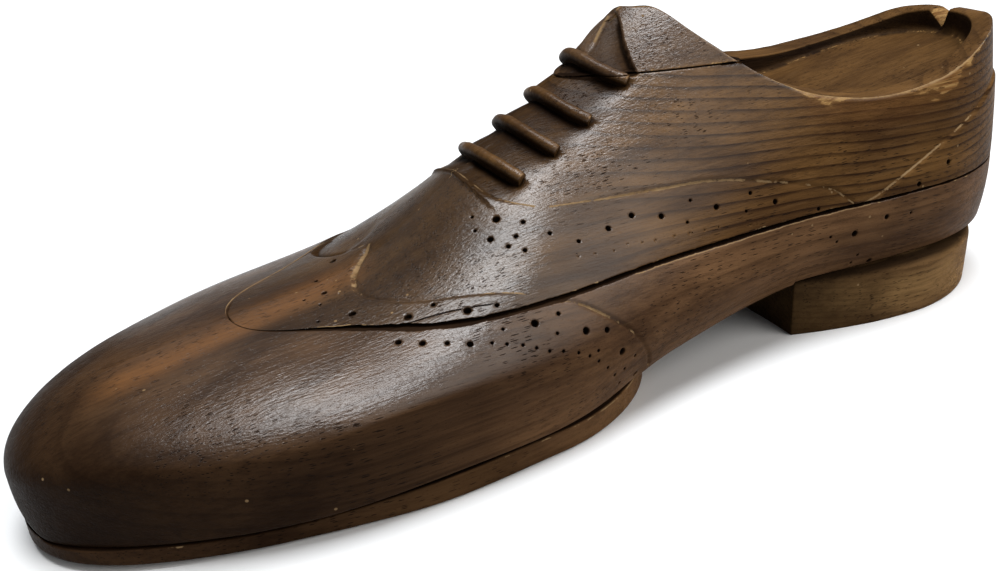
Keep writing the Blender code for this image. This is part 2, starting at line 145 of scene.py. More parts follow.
# Carved lines, as (x, tape)
WING_PEAK_TAPE = 5.8
WING_LINE = (
    (-54.2, 5.8), (-59.6, 0.6), (-63.6, -5.8), (-64.7, -10.2), (-64.4, -14.8),
    (-61.0, -21.2), (-54.3, -28.4), (-47.5, -33.2), (-38.0, -39.6), (-28.9, -46.8))
WING_LOW = ((-28.4, -48.2), (-22.8, -52.0), (-13.2, -61.6), (-5.2, -71.8), (-0.1, -82.0), (2.6, -91.0))
FACING_LINE = ((-30.3, 0.0), (-29.8, -7.7), (-28.1, -16.2), (-24.4, -22.4), (-18.8, -28.9))
QUARTER_LINE = (
    (-18.8, -28.9), (-2.2, -37.7), (18.9, -51.3), (41.3, -64.5), (55.4, -72.5),
    (65.6, -79.6), (72.4, -87.0))
COUNTER_X = (72.0, 78.9, 85.0, 92.0, 105.0, 116.6, 125.1, 136.0, 150.0)
COUNTER_Z = (38.3, 40.2, 42.8, 46.0, 52.0, 56.6, 60.4, 63.5, 64.5)
CRACK = ((-63.5, -31.4), (-53.3, -34.9), (-47.4, -37.6), (-38.6, -42.3))

# Marks that the wood shader reads, with their values on plain wood. A line's
# "off" is the distance to it in half widths, and "worn" how far it shows.
LINES = ("wing", "wing_low", "facing", "quarter", "counter", "tab", "crack")
FAR_OFF = 9.0           # an "off" too large to show
# The "dark" mark is painted shade.
PLAIN = {
    "dark": 0.0, "gold": 0.0, "warm": 0.0, "stain": 0.0, "rings": 0.5, "polish": 0.0,
    "lip": FAR_OFF, "lip_worn": 0.0}
PLAIN.update({line + "_off": FAR_OFF for line in LINES})
PLAIN.update({line + "_worn": 0.0 for line in LINES})
WHOLE_PIECE = ("stain", "rings")    # marks that go on over a piece's hidden faces
JOINT_SHADE = 0.93      # how dark the painted shade is inside the joints
MARK_REACH = 3.0        # a line's wear is kept within this distance
END_X = 149.94          # the solids end here, and the carving stays within them

# Brogue holes by drill radius, as (x, tape)
HOLES = {
    1.05: (
        (-58.7, -31.0), (-46.3, -38.9), (-32.6, -51.7), (-20.0, -61.4), (-10.1, -73.0),
        (-29.8, -23.3), (-69.0, -20.6), (72.3, -95.2), (-63.9, 9.6)),
    0.85: (
        (-14.0, -64.8), (-3.2, -86.7), (-33.4, -26.8), (-4.2, -44.6), (11.3, -53.5), (27.5, -63.5),
        (3.3, -46.7), (45.8, -72.4), (82.9, -95.4), (81.1, -109.6), (93.8, -91.4), (104.7, -91.1),
        (-71.4, -6.3), (-63.6, -36.6), (-59.0, -40.1), (-49.3, -46.6), (-46.6, -42.7)),
    0.62: (
        (-24.5, -28.9), (-19.7, -35.8), (-13.4, -42.1), (38.5, -66.3), (59.7, -81.6),
        (-54.0, -43.4), (-68.1, -32.7), (-27.7, -30.8), (-30.5, -31.6), (-27.3, -35.3),
        (-39.5, -42.3), (-52.4, -32.0), (-53.8, -38.9), (-25.8, -53.5), (-71.0, 2.0)),
    0.48: (
        (-44.4, -49.3), (-41.1, -51.6), (-37.4, -54.1), (-34.3, -56.7), (-31.2, -59.4), (-27.6, -61.7),
        (-23.6, -64.6), (-20.6, -67.3), (-17.8, -67.7), (-18.0, -70.3), (-15.1, -74.1), (-9.0, -79.0),
        (-12.5, -78.2), (-10.0, -83.1), (-5.4, -77.7), (-40.6, -48.1), (-27.8, -57.2), (-35.4, -21.8),
        (-34.2, -17.8), (18.0, -60.5), (20.6, -56.7), (36.2, -69.9), (63.9, -91.9), (66.4, -94.7),
        (75.7, -104.3), (74.5, -106.7), (91.8, -98.9), (-76.8, -18.3), (-74.0, -11.2), (-76.5, -5.9)),
}
DENTS = (
    (-15.1, -45.2), (-10.3, -47.4), (-4.9, -50.1), (-0.7, -51.4), (3.6, -54.2), (7.5, -56.8),
    (13.2, -60.3), (17.8, -63.2), (22.4, -66.0), (26.7, -68.3), (36.8, -73.9), (-26.4, -50.2),
    (-68.6, -9.8), (-66.2, -28.0))
DENT_RADIUS = 0.34

# Lace bars: x at the ridge, and how far they lean back at their ends
LACES = ((-24.0, 4.6), (-13.4, 5.4), (-3.2, 6.4), (8.6, 7.4))
FIRST_HOLLOW = (-31.5, 2.0)     # front edge of the first hollow, said as the bars are
LACE_REACH = 19.0       # over the surface, from the ridge to each end
LACE_HALF_WIDTH = 1.6
LACE_HEIGHT = 1.75
LACE_SINK = 1.2         # how far the bar's foot goes below the scoops
LACE_BEND = 1.7
SCOOP_DEPTH = 1.8
BANK = 0.4              # wood left behind each bar, as a share of the hollow's depth

# Gap left in the lower joint, thin at the front tip and open along the near side
GAP_X = (-95.0, -84.0, -74.0, -60.0, -45.0, 20.0, 60.0, 110.0, 150.0)
GAP_NEAR = (0.02, 0.08, 0.3, 0.8, 1.0, 1.0, 0.8, 0.6, 0.45)
GAP_FAR = (0.02, 0.03, 0.05, 0.12, 0.3, 0.5, 0.5, 0.5, 0.45)
HEEL_GAP = 0.05
LIP_REACH = 3.0         # the boards come closer than the solids over this width
LIP_EDGE = 0.15         # from here inwards the joint has painted shade


# Section geometry

def smooth(table, u, stations=STATION):
    """Values at stations u of a smooth curve through a table."""
    table = np.asarray(table, float)
    places = np.asarray(stations, float)
    gap = np.diff(places)
    slope = np.diff(table) / gap
    inner = (slope[:-1] * gap[1:] + slope[1:] * gap[:-1]) / (gap[:-1] + gap[1:])
    tangent = np.concatenate((slope[:1], inner, slope[-1:]))
    u = np.clip(u, places[0], places[-1])
    i = np.clip(np.searchsorted(places, u, side="right") - 1, 0, len(places) - 2)
    t = (u - places[i]) / gap[i]
    return (
        (1 + 2 * t) * (1 - t) ** 2 * table[i]
        + t * (1 - t) ** 2 * gap[i] * tangent[i]
        + t * t * (3 - 2 * t) * table[i + 1]
        + t * t * (t - 1) * gap[i] * tangent[i + 1]
    )


def rounded(distance, reach, power):
    """0 at an end and 1 from reach on, with a rounded quarter between."""
    t = np.clip(np.asarray(distance, float) / reach, 0.0, 1.0)
    return (1 - (1 - t) ** power) ** (1 / power)


def ease(t):
    """0 to 1 with level ends."""
    t = np.clip(t, 0.0, 1.0)
    return t * t * (3 - 2 * t)


def rise(value, first, last):
    """0 up to the first value and 1 from the last on, which may be the smaller one."""
    return ease((value - first) / (last - first))


def bell(distance, width):
    """1 at no distance, about a third at the width, and almost 0 at twice the width."""
    return np.exp(-(distance / width) ** 2)


def size_of(vectors):
    return np.linalg.norm(vectors, axis=-1)


def running(steps):
    """Distance run along the last axis, from the steps between its points."""
    return np.concatenate((np.zeros(steps.shape[:-1] + (1,)), np.cumsum(steps, -1)), -1)


def run_of(points):
    """Distance run through points, one after another."""
    return running(size_of(np.diff(points, axis=-2)))


def in_rows(run, tape, grid):
    """Values of each row of a grid at the row's own tape distances."""
    return np.array([np.interp(run[i], tape[i], grid[i]) for i in range(len(grid))])


def on_line(x, height=0.0):
    """Points at x on a level line, to take noise from."""
    return np.stack((x, x * 0, x * 0 + height), 1)


def x_at(u):
    return LENGTH * (u - 0.5)


def u_at(x):
    return x / LENGTH + 0.5


def section(u):
    """The body's cross section at each station: each side, ridge and heights."""
    plan = rounded(u, *TOE_PLAN) * rounded(1 - u, *HEEL_PLAN)
    toe_top = rounded(u, *TOE_PROFILE)
    heel_top = rounded(1 - u, *HEEL_PROFILE)

    def ends(height):
        height = TOE_TIP_Z + (height - TOE_TIP_Z) * toe_top
        return HEEL_TIP_Z + (height - HEEL_TIP_Z) * heel_top

    base = TOE_TIP_Z + (smooth(BASE, u) - TOE_TIP_Z) * rounded(u, *TOE_UNDERSIDE)
    base = HEEL_TIP_Z + (base - HEEL_TIP_Z) * rounded(1 - u, *HEEL_UNDERSIDE)
    crown = ends(smooth(CROWN, u, CROWN_STATION))
    widest = np.minimum(np.maximum(ends(smooth(WIDEST, u)), base + 0.01), crown - 0.01)

    def half(breadth, wall_pull, crown_pull):
        return np.maximum(smooth(breadth, u) * plan, 0.05), smooth(wall_pull, u), smooth(crown_pull, u)

    return {
        -1: half(HALF_NEAR, WALL_NEAR_PULL, CROWN_NEAR_PULL),
        1: half(HALF_FAR, WALL_FAR_PULL, CROWN_FAR_PULL),
        "ridge": smooth(RIDGE_Y, u),
        "crown": crown,
        "base": base,
        "widest": widest,
        "tuck": smooth(TUCK, u),
    }


def strips(u, side):
    """For each station: y, z and tape distance, from the ridge to the base."""
    cut = section(np.asarray(u, float))
    half, wall, crown_pull = (values[:, None] for values in cut[side])
    s = np.linspace(0, 2, FINE)[None]
    t = np.clip(1 - s, 0, 1)
    v = np.clip(2 - s, 0, 1)
    out = (1 - t) ** 3 + 3 * (1 - t) ** 2 * t + 3 * (1 - t) * t * t * crown_pull
    up = 3 * (1 - t) ** 2 * t * wall + 3 * (1 - t) * t * t + t ** 3
    low = 1 - cut["tuck"][:, None] * (1 - v) ** 2
    widest = cut["widest"][:, None]
    upper_z = widest + up * (cut["crown"][:, None] - widest)
    lower_z = cut["base"][:, None] + v * (widest - cut["base"][:, None])
    y = cut["ridge"][:, None] + side * half * np.where(s <= 1, out, low)
    z = np.where(s <= 1, upper_z, lower_z)
    return y, z, running(np.hypot(np.diff(y, axis=1), np.diff(z, axis=1)))


def breadth(u, z, side):
    """Y of the carved side at stations u and heights z."""
    y, heights, _ = strips(u, side)
    return in_rows(-z, -heights, y)


def place(x, tape):
    """Point on the body at x and a signed tape distance, and its outward normal."""
    side = -1 if tape < 0 else 1
    reach = 0.4

    def point(px, distance):
        y, z, run = strips(np.array([u_at(px)]), side)
        return np.array((px, np.interp(distance, run[0], y[0]), np.interp(distance, run[0], z[0])))

    along = point(x + reach, abs(tape)) - point(x - reach, abs(tape))
    down = point(x, abs(tape) + reach) - point(x, max(abs(tape) - reach, 0.0))
    normal = side * np.cross(along, down)
    return point(x, abs(tape)), normal / np.linalg.norm(normal)


def rim_at(x, y):
    """Height of the tongue's rear slope and of the foot opening's rim."""
    u = u_at(x)
    near = smooth(RIM_NEAR, u, RIM_STATION)
    far = smooth(RIM_FAR, u, RIM_STATION)
    return near + (far - near) * (y + RIM_SPAN / 2) / RIM_SPAN


def spring(u):
    return TOE_SPRING * np.maximum((SPRING_END - u) / SPRING_END, 0.0) ** 2


def middle_at(u):
    leave = ease((u - MIDDLE_TURN[0]) / (MIDDLE_TURN[1] - MIDDLE_TURN[0]))
    return smooth(RIDGE_Y, u) * (1 - leave) + HEEL_MIDDLE_Y * leave


def sole_half(u):
    first = x_at(0) + SOLE_START
    x = x_at(u)
    half = smooth(SOLE_HALF, u, SOLE_STATION)
    half = half * rounded((x - first) / LENGTH, *SOLE_PLAN)
    return half * rounded(SOLE_END_X - x, *SOLE_END_ROUND)


# Seeded noise

def ripple(points, size, seed, long=1.0):
    """Smooth noise, about -1 to 1: waves of a size in millimetres, longer along the shoe."""
    stretch = (long, 1.0, 1.0)
    chance = np.random.default_rng(seed)
    total = np.zeros(points.shape[:-1])
    count = 8
    for _ in range(count):
        direction = chance.normal(size=3)
        direction /= np.linalg.norm(direction)
        wave = size * chance.uniform(0.7, 1.7)
        phase = chance.uniform(0, 2 * math.pi)
        total += np.sin(points @ (direction / stretch) * 2 * math.pi / wave + phase)
    return total / count * 1.8


# Rows of points round the body

CORNER_CUT = 0.29       # how far a worn corner is moved in, as a share of its radius


def spread(length, count):
    """Distances from 0 to each length, closer together at both ends."""
    edge = np.asarray(EDGE)
    scale = np.minimum(1.0, length / (4 * edge[-1]))
    first = edge[None] * scale[:, None]
    inside = np.linspace(0, 1, count - 2 * len(edge) + 2)[1:-1]
    between = first[:, -1:] + inside * (length[:, None] - 2 * first[:, -1:])
    return np.concatenate((first, between, length[:, None] - first[:, ::-1]), 1)


def meet(excess, tape):
    """Tape distance at which each row's falling excess passes zero."""
    rows = np.arange(len(excess))
    above = excess > 0
    last = np.where(above.any(1), FINE - 1 - np.argmax(above[:, ::-1], 1), 0)
    after = np.minimum(last + 1, FINE - 1)
    drop = excess[rows, last] - excess[rows, after]
    t = np.clip(excess[rows, last] / np.maximum(drop, TINY), 0, 1)
    distance = tape[rows, last] + t * (tape[rows, after] - tape[rows, last])
    return np.where(above.any(1), distance, 0.0)


def even_stations(first, last, step, track):
    """Stations at even distances along the tracked curve that moves most."""
    u = np.linspace(first, last, STATION_SAMPLES)
    points = track(u)
    run = running(size_of(np.diff(points, axis=0)).max(1))
    count = int(run[-1] / step) + 2
    return np.interp(np.linspace(0, run[-1], count), run, u)


class Path:
    """Columns of points for every row, laid from the middle of the top down one side."""

    def __init__(self, u, side, start):
        self.u = u
        self.side = side
        self.points = [start[:, None]]
        self.tapes = [np.full((len(u), 1), np.nan)]
        self.corners = {}

    def count(self):
        return sum(block.shape[1] for block in self.points)

    def corner(self, radius):
        """Mark the last column as an edge that is worn round."""
        self.corners[self.count() - 1] = np.broadcast_to(radius, (len(self.u),))

    def lip(self, y, z, flat, count):
        """Go along a flat face, then rise or fall to an edge beside a joint."""
        start = self.points[-1][:, -1]
        reach = np.minimum(np.abs(y - start[:, 0]), LIP_REACH)
        near = np.minimum(reach, LIP_EDGE)
        self.line(y - self.side * reach, flat, 3)
        self.line(y - self.side * near, z + (flat - z) * near / np.maximum(reach, TINY), count - 1)
        self.line(y, z, 2)

    def from_lip(self, y, z, count):
        """Leave an edge beside a joint for the flat face's middle."""
        start = self.points[-1][:, -1]
        reach = np.minimum(np.abs(y - start[:, 0]), LIP_REACH)
        self.line(start[:, 0] - self.side * reach, z, count)
        self.line(y, z, 3)

    def line(self, y, z, count):
        start = self.points[-1][:, -1]
        step = np.stack((y, z), 1) - start
        length = size_of(step)
        share = spread(length, count) if count > 2 * len(EDGE) else (
            np.linspace(0, 1, count)[None] * length[:, None])
        share = share / np.maximum(length, TINY)[:, None]
        block = start[:, None] + share[..., None] * step[:, None]
        self.points.append(block[:, 1:])
        self.tapes.append(np.full(block[:, 1:, 0].shape, np.nan))

    def skin(self, strip, start, end, count):
        y, z, tape = strip
        run = start[:, None] + spread(end - start, count)
        block = np.stack((in_rows(run, tape, y), in_rows(run, tape, z)), -1)
        self.tapes[-1][:, -1] = run[:, 0] * self.side
        self.points.append(block[:, 1:])
        self.tapes.append(run[:, 1:] * self.side)

    def finish(self):
        """Points in space, worn round at the marked corners, and signed tape distances."""
        flat = np.concatenate(self.points, 1)
        run = run_of(flat)
        last = flat.shape[1] - 1
        shift = np.zeros_like(flat)
        for column, radius in self.corners.items():
            radius = radius[:, None]
            before = flat[:, column] - flat[:, max(column - 3, 0)]
            after = flat[:, min(column + 3, last)] - flat[:, column]
            sizes = [size_of(step)[:, None] for step in (before, after)]
            real = (sizes[0] > 0.05) & (sizes[1] > 0.05)
            inward = after / np.maximum(sizes[1], TINY) - before / np.maximum(sizes[0], TINY)
            inward = inward * real * radius * CORNER_CUT
            near = np.clip(1 - np.abs(run - run[:, column:column + 1]) / radius, 0, 1) ** 2
            shift += near[..., None] * inward[:, None]
        x = np.broadcast_to(x_at(self.u)[:, None, None], flat.shape[:2] + (1,))
        return np.concatenate((x, flat + shift), -1), np.concatenate(self.tapes, 1)


# Carving on the surface

def curve(points, step=1.0):
    """Points at even steps on a smooth line through a few points."""
    points = np.asarray(points, float)
    run = run_of(points)
    at = np.linspace(0, run[-1], int(run[-1] / step) + 2)
    return np.stack((smooth(points[:, 0], at, run), smooth(points[:, 1], at, run)), 1)


def from_line(points, x, tape, reach):
    """Distance to a carved line, signed by its side, and the share of it run."""
    line = curve(points)
    distance = np.full(x.shape, 1e3)
    run = np.zeros(x.shape)
    low, high = line.min(0) - reach, line.max(0) + reach
    close = (x > low[0]) & (x < high[0]) & (tape > low[1]) & (tape < high[1])
    here = np.stack((x[close], tape[close]), 1)
    best = np.full(len(here), 1e3)
    sign = np.ones(len(here))
    along = np.zeros(len(here))
    for i, (a, b) in enumerate(zip(line, line[1:])):
        ab = b - a
        t = np.clip(((here - a) @ ab) / (ab @ ab), 0, 1)
        away = here - a - t[:, None] * ab
        size = np.hypot(away[:, 0], away[:, 1])
        better = size < best
        best[better] = size[better]
        turn = ab[0] * (here[:, 1] - a[1]) - ab[1] * (here[:, 0] - a[0])
        sign[better] = np.where(turn[better] < 0, -1.0, 1.0)
        along[better] = i + t[better]
    distance[close] = best * sign
    run[close] = along / (len(line) - 1)
    return distance, run, len(line) - 1


def profile(values, share):
    """Value at a share of the way along, from values at even distances."""
    return np.interp(share, np.linspace(0, 1, len(values)), values)


def patches(run, seed, share):
    """0 or 1 along a line, in worn patches that cover about a share of it."""
    chance = np.random.default_rng(seed)
    wave = sum(np.sin(run / chance.uniform(1.2, 6.0) + chance.uniform(0, 6.3)) for _ in range(5))
    return ease((wave / 2.2 - (1 - 2 * share)) * 1.5 + 0.5)


class Relief:
    """Depths and colours that the carving gives to every point of the skin."""

    def __init__(self, points, tape):
        self.points = points
        self.x = points[..., 0]
        self.tape = np.nan_to_num(tape, nan=1e3)
        self.mirrored = -np.abs(self.tape)
        self.depth = np.zeros(self.x.shape)
        self.marks = {name: np.full(self.x.shape, value) for name, value in PLAIN.items()}

    def mark(self, name, amount):
        self.marks[name] = np.maximum(self.marks[name], amount)

    def line(self, name, points, tape, width, depth, worn, thick, step=0.0, fade=10.0, ends=(4.0, 4.0)):
        """A carved line, with the surface a step lower on one side.

        width, depth, worn and thick are values at even distances along it:
        the groove's half width and depth, and how far and how wide the worn
        pale line on its edge shows. The carving runs out over its ends.
        """
        distance, run, length = from_line(points, self.x, tape, fade * 2.5)
        inside = ease(run * length / ends[0]) * ease((1 - run) * length / ends[1])
        groove = profile(depth, run) * bell(distance, profile(width, run))
        lower = 0.5 + 0.5 * np.tanh(distance * np.sign(step) / 0.45)
        self.depth += inside * (groove + abs(step) * lower * bell(distance, fade))
        self.show(name, distance, profile(thick, run), profile(worn, run) * (inside > 0.02))
        return distance

    def show(self, name, distance, thick, worn):
        """Let the shader draw a worn line of some half width at no distance."""
        self.marks[name + "_off"] = np.clip(distance / thick, -FAR_OFF, FAR_OFF)
        self.marks[name + "_worn"] = worn * (np.abs(distance) < MARK_REACH)


def wing(relief):
    """The wing tip's two lobes, and its run down the side to the sole."""
    tape = np.minimum(relief.tape, 2 * WING_PEAK_TAPE - relief.tape)
    before = relief.depth.copy()
    distance = relief.line(
        "wing", WING_LINE, tape, width=(0.8, 0.8, 0.6, 0.5, 0.5), depth=(0.9, 0.7, 0.4, 0.3, 0.3),
        worn=(1.0, 1.0, 0.5, 0.0, 0.0, 0.3, 0.6, 0.5), thick=(0.4, 0.75, 0.5, 0.2, 0.18, 0.2, 0.22),
        step=0.55, fade=9.0, ends=(4.0, 16.0))
    far = relief.tape > WING_PEAK_TAPE
    join = far * rise(relief.tape, 13.0, 10.0)
    relief.depth = before + (relief.depth - before) * (1 - 0.85 * join)
    relief.marks["wing_off"] *= np.where(far, 3.0, 1.0)
    relief.marks["wing_worn"] *= np.where(far, 0.3, 1.0)
    # painted shade in the wing's groove on the far side of the toe
    relief.mark("dark", 0.7 * far * (1 - join) * bell(distance, 0.9) * (relief.x < -50.0))
    relief.line(
        "wing_low", WING_LOW, relief.mirrored, width=(0.45,), depth=(0.4, 0.55, 0.4, 0.4),
        worn=(0.4, 0.8, 0.4, 0.25, 0.5), thick=(0.18, 0.28, 0.18, 0.2), step=-0.35, fade=9.0)


def facings(relief):
    """The facings' front edge, and the quarter's line that runs back from it."""
    relief.line(
        "facing", FACING_LINE, relief.mirrored, width=(0.5,), depth=(0.25,),
        worn=(0.5, 0.5, 0.6, 0.9), thick=(0.18, 0.18, 0.3), step=0.9, fade=13.0, ends=(4.0, 20.0))
    distance = relief.line(
        "quarter", QUARTER_LINE, relief.mirrored, width=(0.55,), depth=(0.4, 0.4, 0.35, 0.3),
        worn=(0.6, 0.9, 0.85, 0.55, 0.5, 0.45), thick=(0.18, 0.34, 0.3, 0.22), step=-0.3, fade=9.0,
        ends=(24.0, 4.0))
    relief.mark("gold", 0.3 * bell(distance, 1.3) * rise(relief.x, 45.0, 25.0))


# The counter's edge by x: half width and wear of its pale line
COUNTER_THICK = ((75, 100, 130), (0.3, 0.24, 0.2))
COUNTER_WORN = ((73, 80, 95, 110, 125, 150), (0.9, 0.85, 0.55, 0.5, 0.35, 0.3))
COUNTER_LEAN = 0.88     # distance over the sloping skin for each millimetre of height


def counter(relief):
    """The counter's edge, with the skin above it cut lower."""
    x = relief.x
    distance = (relief.points[..., 2] - np.interp(x, COUNTER_X, COUNTER_Z)) * COUNTER_LEAN
    behind = rise(x, 71.0, 87.0)
    above = 0.5 + 0.5 * np.tanh(distance / 0.45)
    groove = 0.3 * bell(distance, 0.5)
    relief.depth += behind * (groove + 0.7 * above * bell(distance, 13.0))
    worn = np.interp(x, *COUNTER_WORN) * (x > COUNTER_WORN[0][0])
    relief.show("counter", distance, np.interp(x, *COUNTER_THICK), worn)


def crack(relief):
    """A thin dark crack beside the wing's line."""
    relief.line(
        "crack", CRACK, relief.tape, width=(0.5,), depth=(0.1,),
        worn=(0.6, 1.0, 1.0, 0.8), thick=(0.14, 0.26, 0.2, 0.14))


def lace_x(ridge_x, lean, tape):
    return ridge_x + lean * (np.abs(tape) / LACE_REACH) ** LACE_BEND


def scoops(relief):
    """Hollows between the lace bars, deepest just in front of each bar."""
    edges = [FIRST_HOLLOW, *LACES]
    across = ease((LACE_REACH + 3.5 - np.abs(relief.tape)) / 6.5)
    for (rear_x, rear_lean), (front_x, front_lean) in zip(edges, edges[1:]):
        first = lace_x(rear_x, rear_lean, relief.tape)
        last = lace_x(front_x, front_lean, relief.tape) - 1.2
        t = (relief.x - first) / (last - first)
        inside = (t > 0) & (t < 1.2) & (np.abs(relief.tape) < LACE_REACH + 4.0)
        shape = np.clip(t, 0, 1) ** 1.8 * ease((1.2 - t) / 0.2) - BANK * np.clip(1 - t, 0, 1) ** 2
        relief.depth += np.where(inside, SCOOP_DEPTH * shape * across, 0.0)
        # painted shade in the hollows, deepest just in front of each bar
        relief.mark("dark", np.where(inside, (0.4 + 0.58 * rise(t, 0.55, 0.9)) * across, 0.0))
        relief.marks["polish"] -= np.where(inside, 0.75 * ease((LACE_REACH - np.abs(relief.tape)) / 5.0), 0.0)


# The tongue's tab and the recess beside it, as (x, tape)
TAB_X = (12.6, 17.6, 21.0, 23.5)
TAB_EDGE = (-4.0, -1.0, 0.8, 1.8)
TAB_WIDTH = 6.5
DOME_TAPE = (-20.6, -15.8, -9.5, -3.7, 1.5)
DOME_X = (19.2, 18.9, 19.6, 21.4, 23.0)
THROAT_MIDDLE = 1.5
THROAT_REACH = 20.0


def throat(relief):
    """The recess behind the last lace bar, and the tongue's raised tab."""
    x, tape = relief.x, relief.tape
    across = THROAT_MIDDLE - np.abs(tape - THROAT_MIDDLE)
    front = lace_x(*LACES[-1], tape) + 0.8
    back = np.interp(across, DOME_TAPE, DOME_X)
    t = np.clip((x - front) / (back - front), 0, 1)
    recess = ease((x - front) / 0.8) * ease((back - x) / 0.45)
    recess = recess * ease((THROAT_REACH + 0.5 - np.abs(tape)) / 3.0)
    beside = tape - np.interp(x, TAB_X, TAB_EDGE)
    tab = rise(beside, -0.4, 0.4) * ease((TAB_WIDTH - beside + 0.4) / 0.8) * rise(x, 9.0, 11.0)
    low = rise(across, 2.0, -7.0)
    relief.depth += recess * (1 - tab) * (0.7 + (0.3 + 1.8 * low) * t ** 2)
    relief.depth += 1.1 * tab * bell(x - back + 0.4, 0.9)
    # painted shade in the recess, most in the wedge at its back
    wedge = recess * (1 - tab) * bell(back - 0.9 - x, 1.3) * rise(across, 0.0, -4.0)
    relief.mark("dark", np.maximum(0.95 * wedge, 0.55 * recess * (1 - tab)))
    relief.marks["polish"] -= 0.8 * recess * (1 - tab)
    shown = rise(x, 12.0, 13.5) * rise(x, 22.0, 20.5)
    relief.show("tab", beside - 0.5, 0.5, 0.8 * shown)


# Waves left by hand: depth, size, seed, and how much longer they are along the shoe
HAND_WORK = ((0.12, 34.0, 21, 1.6), (0.05, 13.0, 22, 2.2), (0.02, 4.5, 23, 2.6))


def hand_work(relief):
    """The slight waviness that a gouge and sandpaper leave."""
    for depth, size, seed, long in HAND_WORK:
        relief.depth += depth * ripple(relief.points, size, seed, long)


def toe_streak(relief):
    """The worn orange streak along the toe."""
    middle = -8.2 + 8.0 * rise(relief.x, -105.0, -55.0)
    across = (relief.tape - middle) / (6.4 + 1.6 * ripple(relief.points, 40.0, 31, 2.0))
    along = rise(relief.x, -134.0, -118.0) * rise(relief.x, -52.0, -72.0)
    sharp = np.where(across < 0, np.abs(across) ** 3.0, np.abs(across) ** 1.6)
    relief.mark("warm", np.exp(-sharp) * along)


DARKEN_X = (-150.0, -115.0, -70.0, -35.0, 10.0)
DARKEN_ABOVE = (0.9, 0.62, 0.55, 0.6, 0.0)
DARKEN_BELOW = (1.0, 0.88, 0.75, 0.12, 0.0)


def stain(relief):
    """The wood is darker on the toe, and darker still low down on it."""
    low = rise(relief.points[..., 2], 36.0, 16.0)
    above = np.interp(relief.x, DARKEN_X, DARKEN_ABOVE)
    below = np.interp(relief.x, DARKEN_X, DARKEN_BELOW)
    relief.mark("stain", above + (below - above) * low)
    relief.marks["polish"] -= rise(relief.x, -104.0, -140.0) + 0.12 * rise(relief.x, -50.0, -70.0)


def ring_contrast(relief):
    """Growth rings show most on the back quarter, and hardly on the vamp."""
    shown = np.interp(relief.x, (-100.0, -40.0, 0.0, 40.0), (0.2, 0.12, 0.5, 1.0))
    relief.marks["rings"] = np.where(relief.points[..., 2] > LOWER_JOINT, shown, 0.45)


def normals(points, side):
    """Outward normals of a skin's rows and columns."""
    along = np.gradient(points, axis=0)
    down = np.gradient(points, axis=1)
    cross = side * np.cross(along, down)
    return cross / np.maximum(size_of(cross), TINY)[..., None]


POLISH_SLOPE = (0.22, 0.72)     # upward part of the normal, where wax starts and is full
FAR_POLISH = 0.6
EDGE_FOLLOW = 0.6       # how far from its edge a flat face follows the carving


def joint_shade(x, side):
    """Painted shade inside a joint: less near its front tip, and less on the far side."""
    return JOINT_SHADE * np.interp(x, (-90.0, -78.0), (0.3, 1.0)) * (1.0 if side < 0 else 0.3)


def carve(points, tape, side, works, worn_first, worn_last):
    """Push a side's skin in by its carving; give the new points, the marks and the skin.

    worn_first and worn_last say how worn the skin's first and last edges are.
    """
    columns = np.flatnonzero(np.isfinite(tape).any(0))
    skin = slice(columns[0], columns[-1] + 1)
    before = slice(0, skin.start)
    first = slice(skin.start, skin.start + 1)
    relief = Relief(points, tape)
    for work in works:
        work(relief)
    marks = relief.marks
    up = normals(points[:, skin], side)
    marks["polish"][:, skin] += rise(up[..., 2], *POLISH_SLOPE) * (1.0 if side < 0 else FAR_POLISH)
    marks["polish"] = np.clip(marks["polish"], 0.0, 1.0)
    shift = -relief.depth[:, skin, None] * up
    inside = size_of(points[:, before] - points[:, first])
    points = points.copy()
    points[:, before] += shift[:, :1] * bell(inside, EDGE_FOLLOW)[..., None]
    points[:, skin] += shift
    points[..., 0] = np.clip(points[..., 0], -END_X, END_X)
    run = run_of(points[:, skin])
    rest = run[:, -1:] - run
    x = points[:, skin, 0]
    marks["lip"][:, skin] = np.minimum(run, rest)
    marks["lip_worn"][:, skin] = np.where(run < rest, worn_first(x, side), worn_last(x, side))
    # the faces hidden in the joints get painted shade
    shade = joint_shade(points[:, :1, 0], side)
    for name, values in marks.items():
        hidden = shade if name == "dark" else PLAIN[name]
        values[:, before] = np.where(inside < LIP_EDGE / 2, values[:, first], hidden)
        values[:, skin.stop:] = values[:, skin.stop - 1:skin.stop] if name in WHOLE_PIECE else hidden
    return points, marks, skin


def no_wear(x, side):
    return np.zeros_like(x)


# Meshes

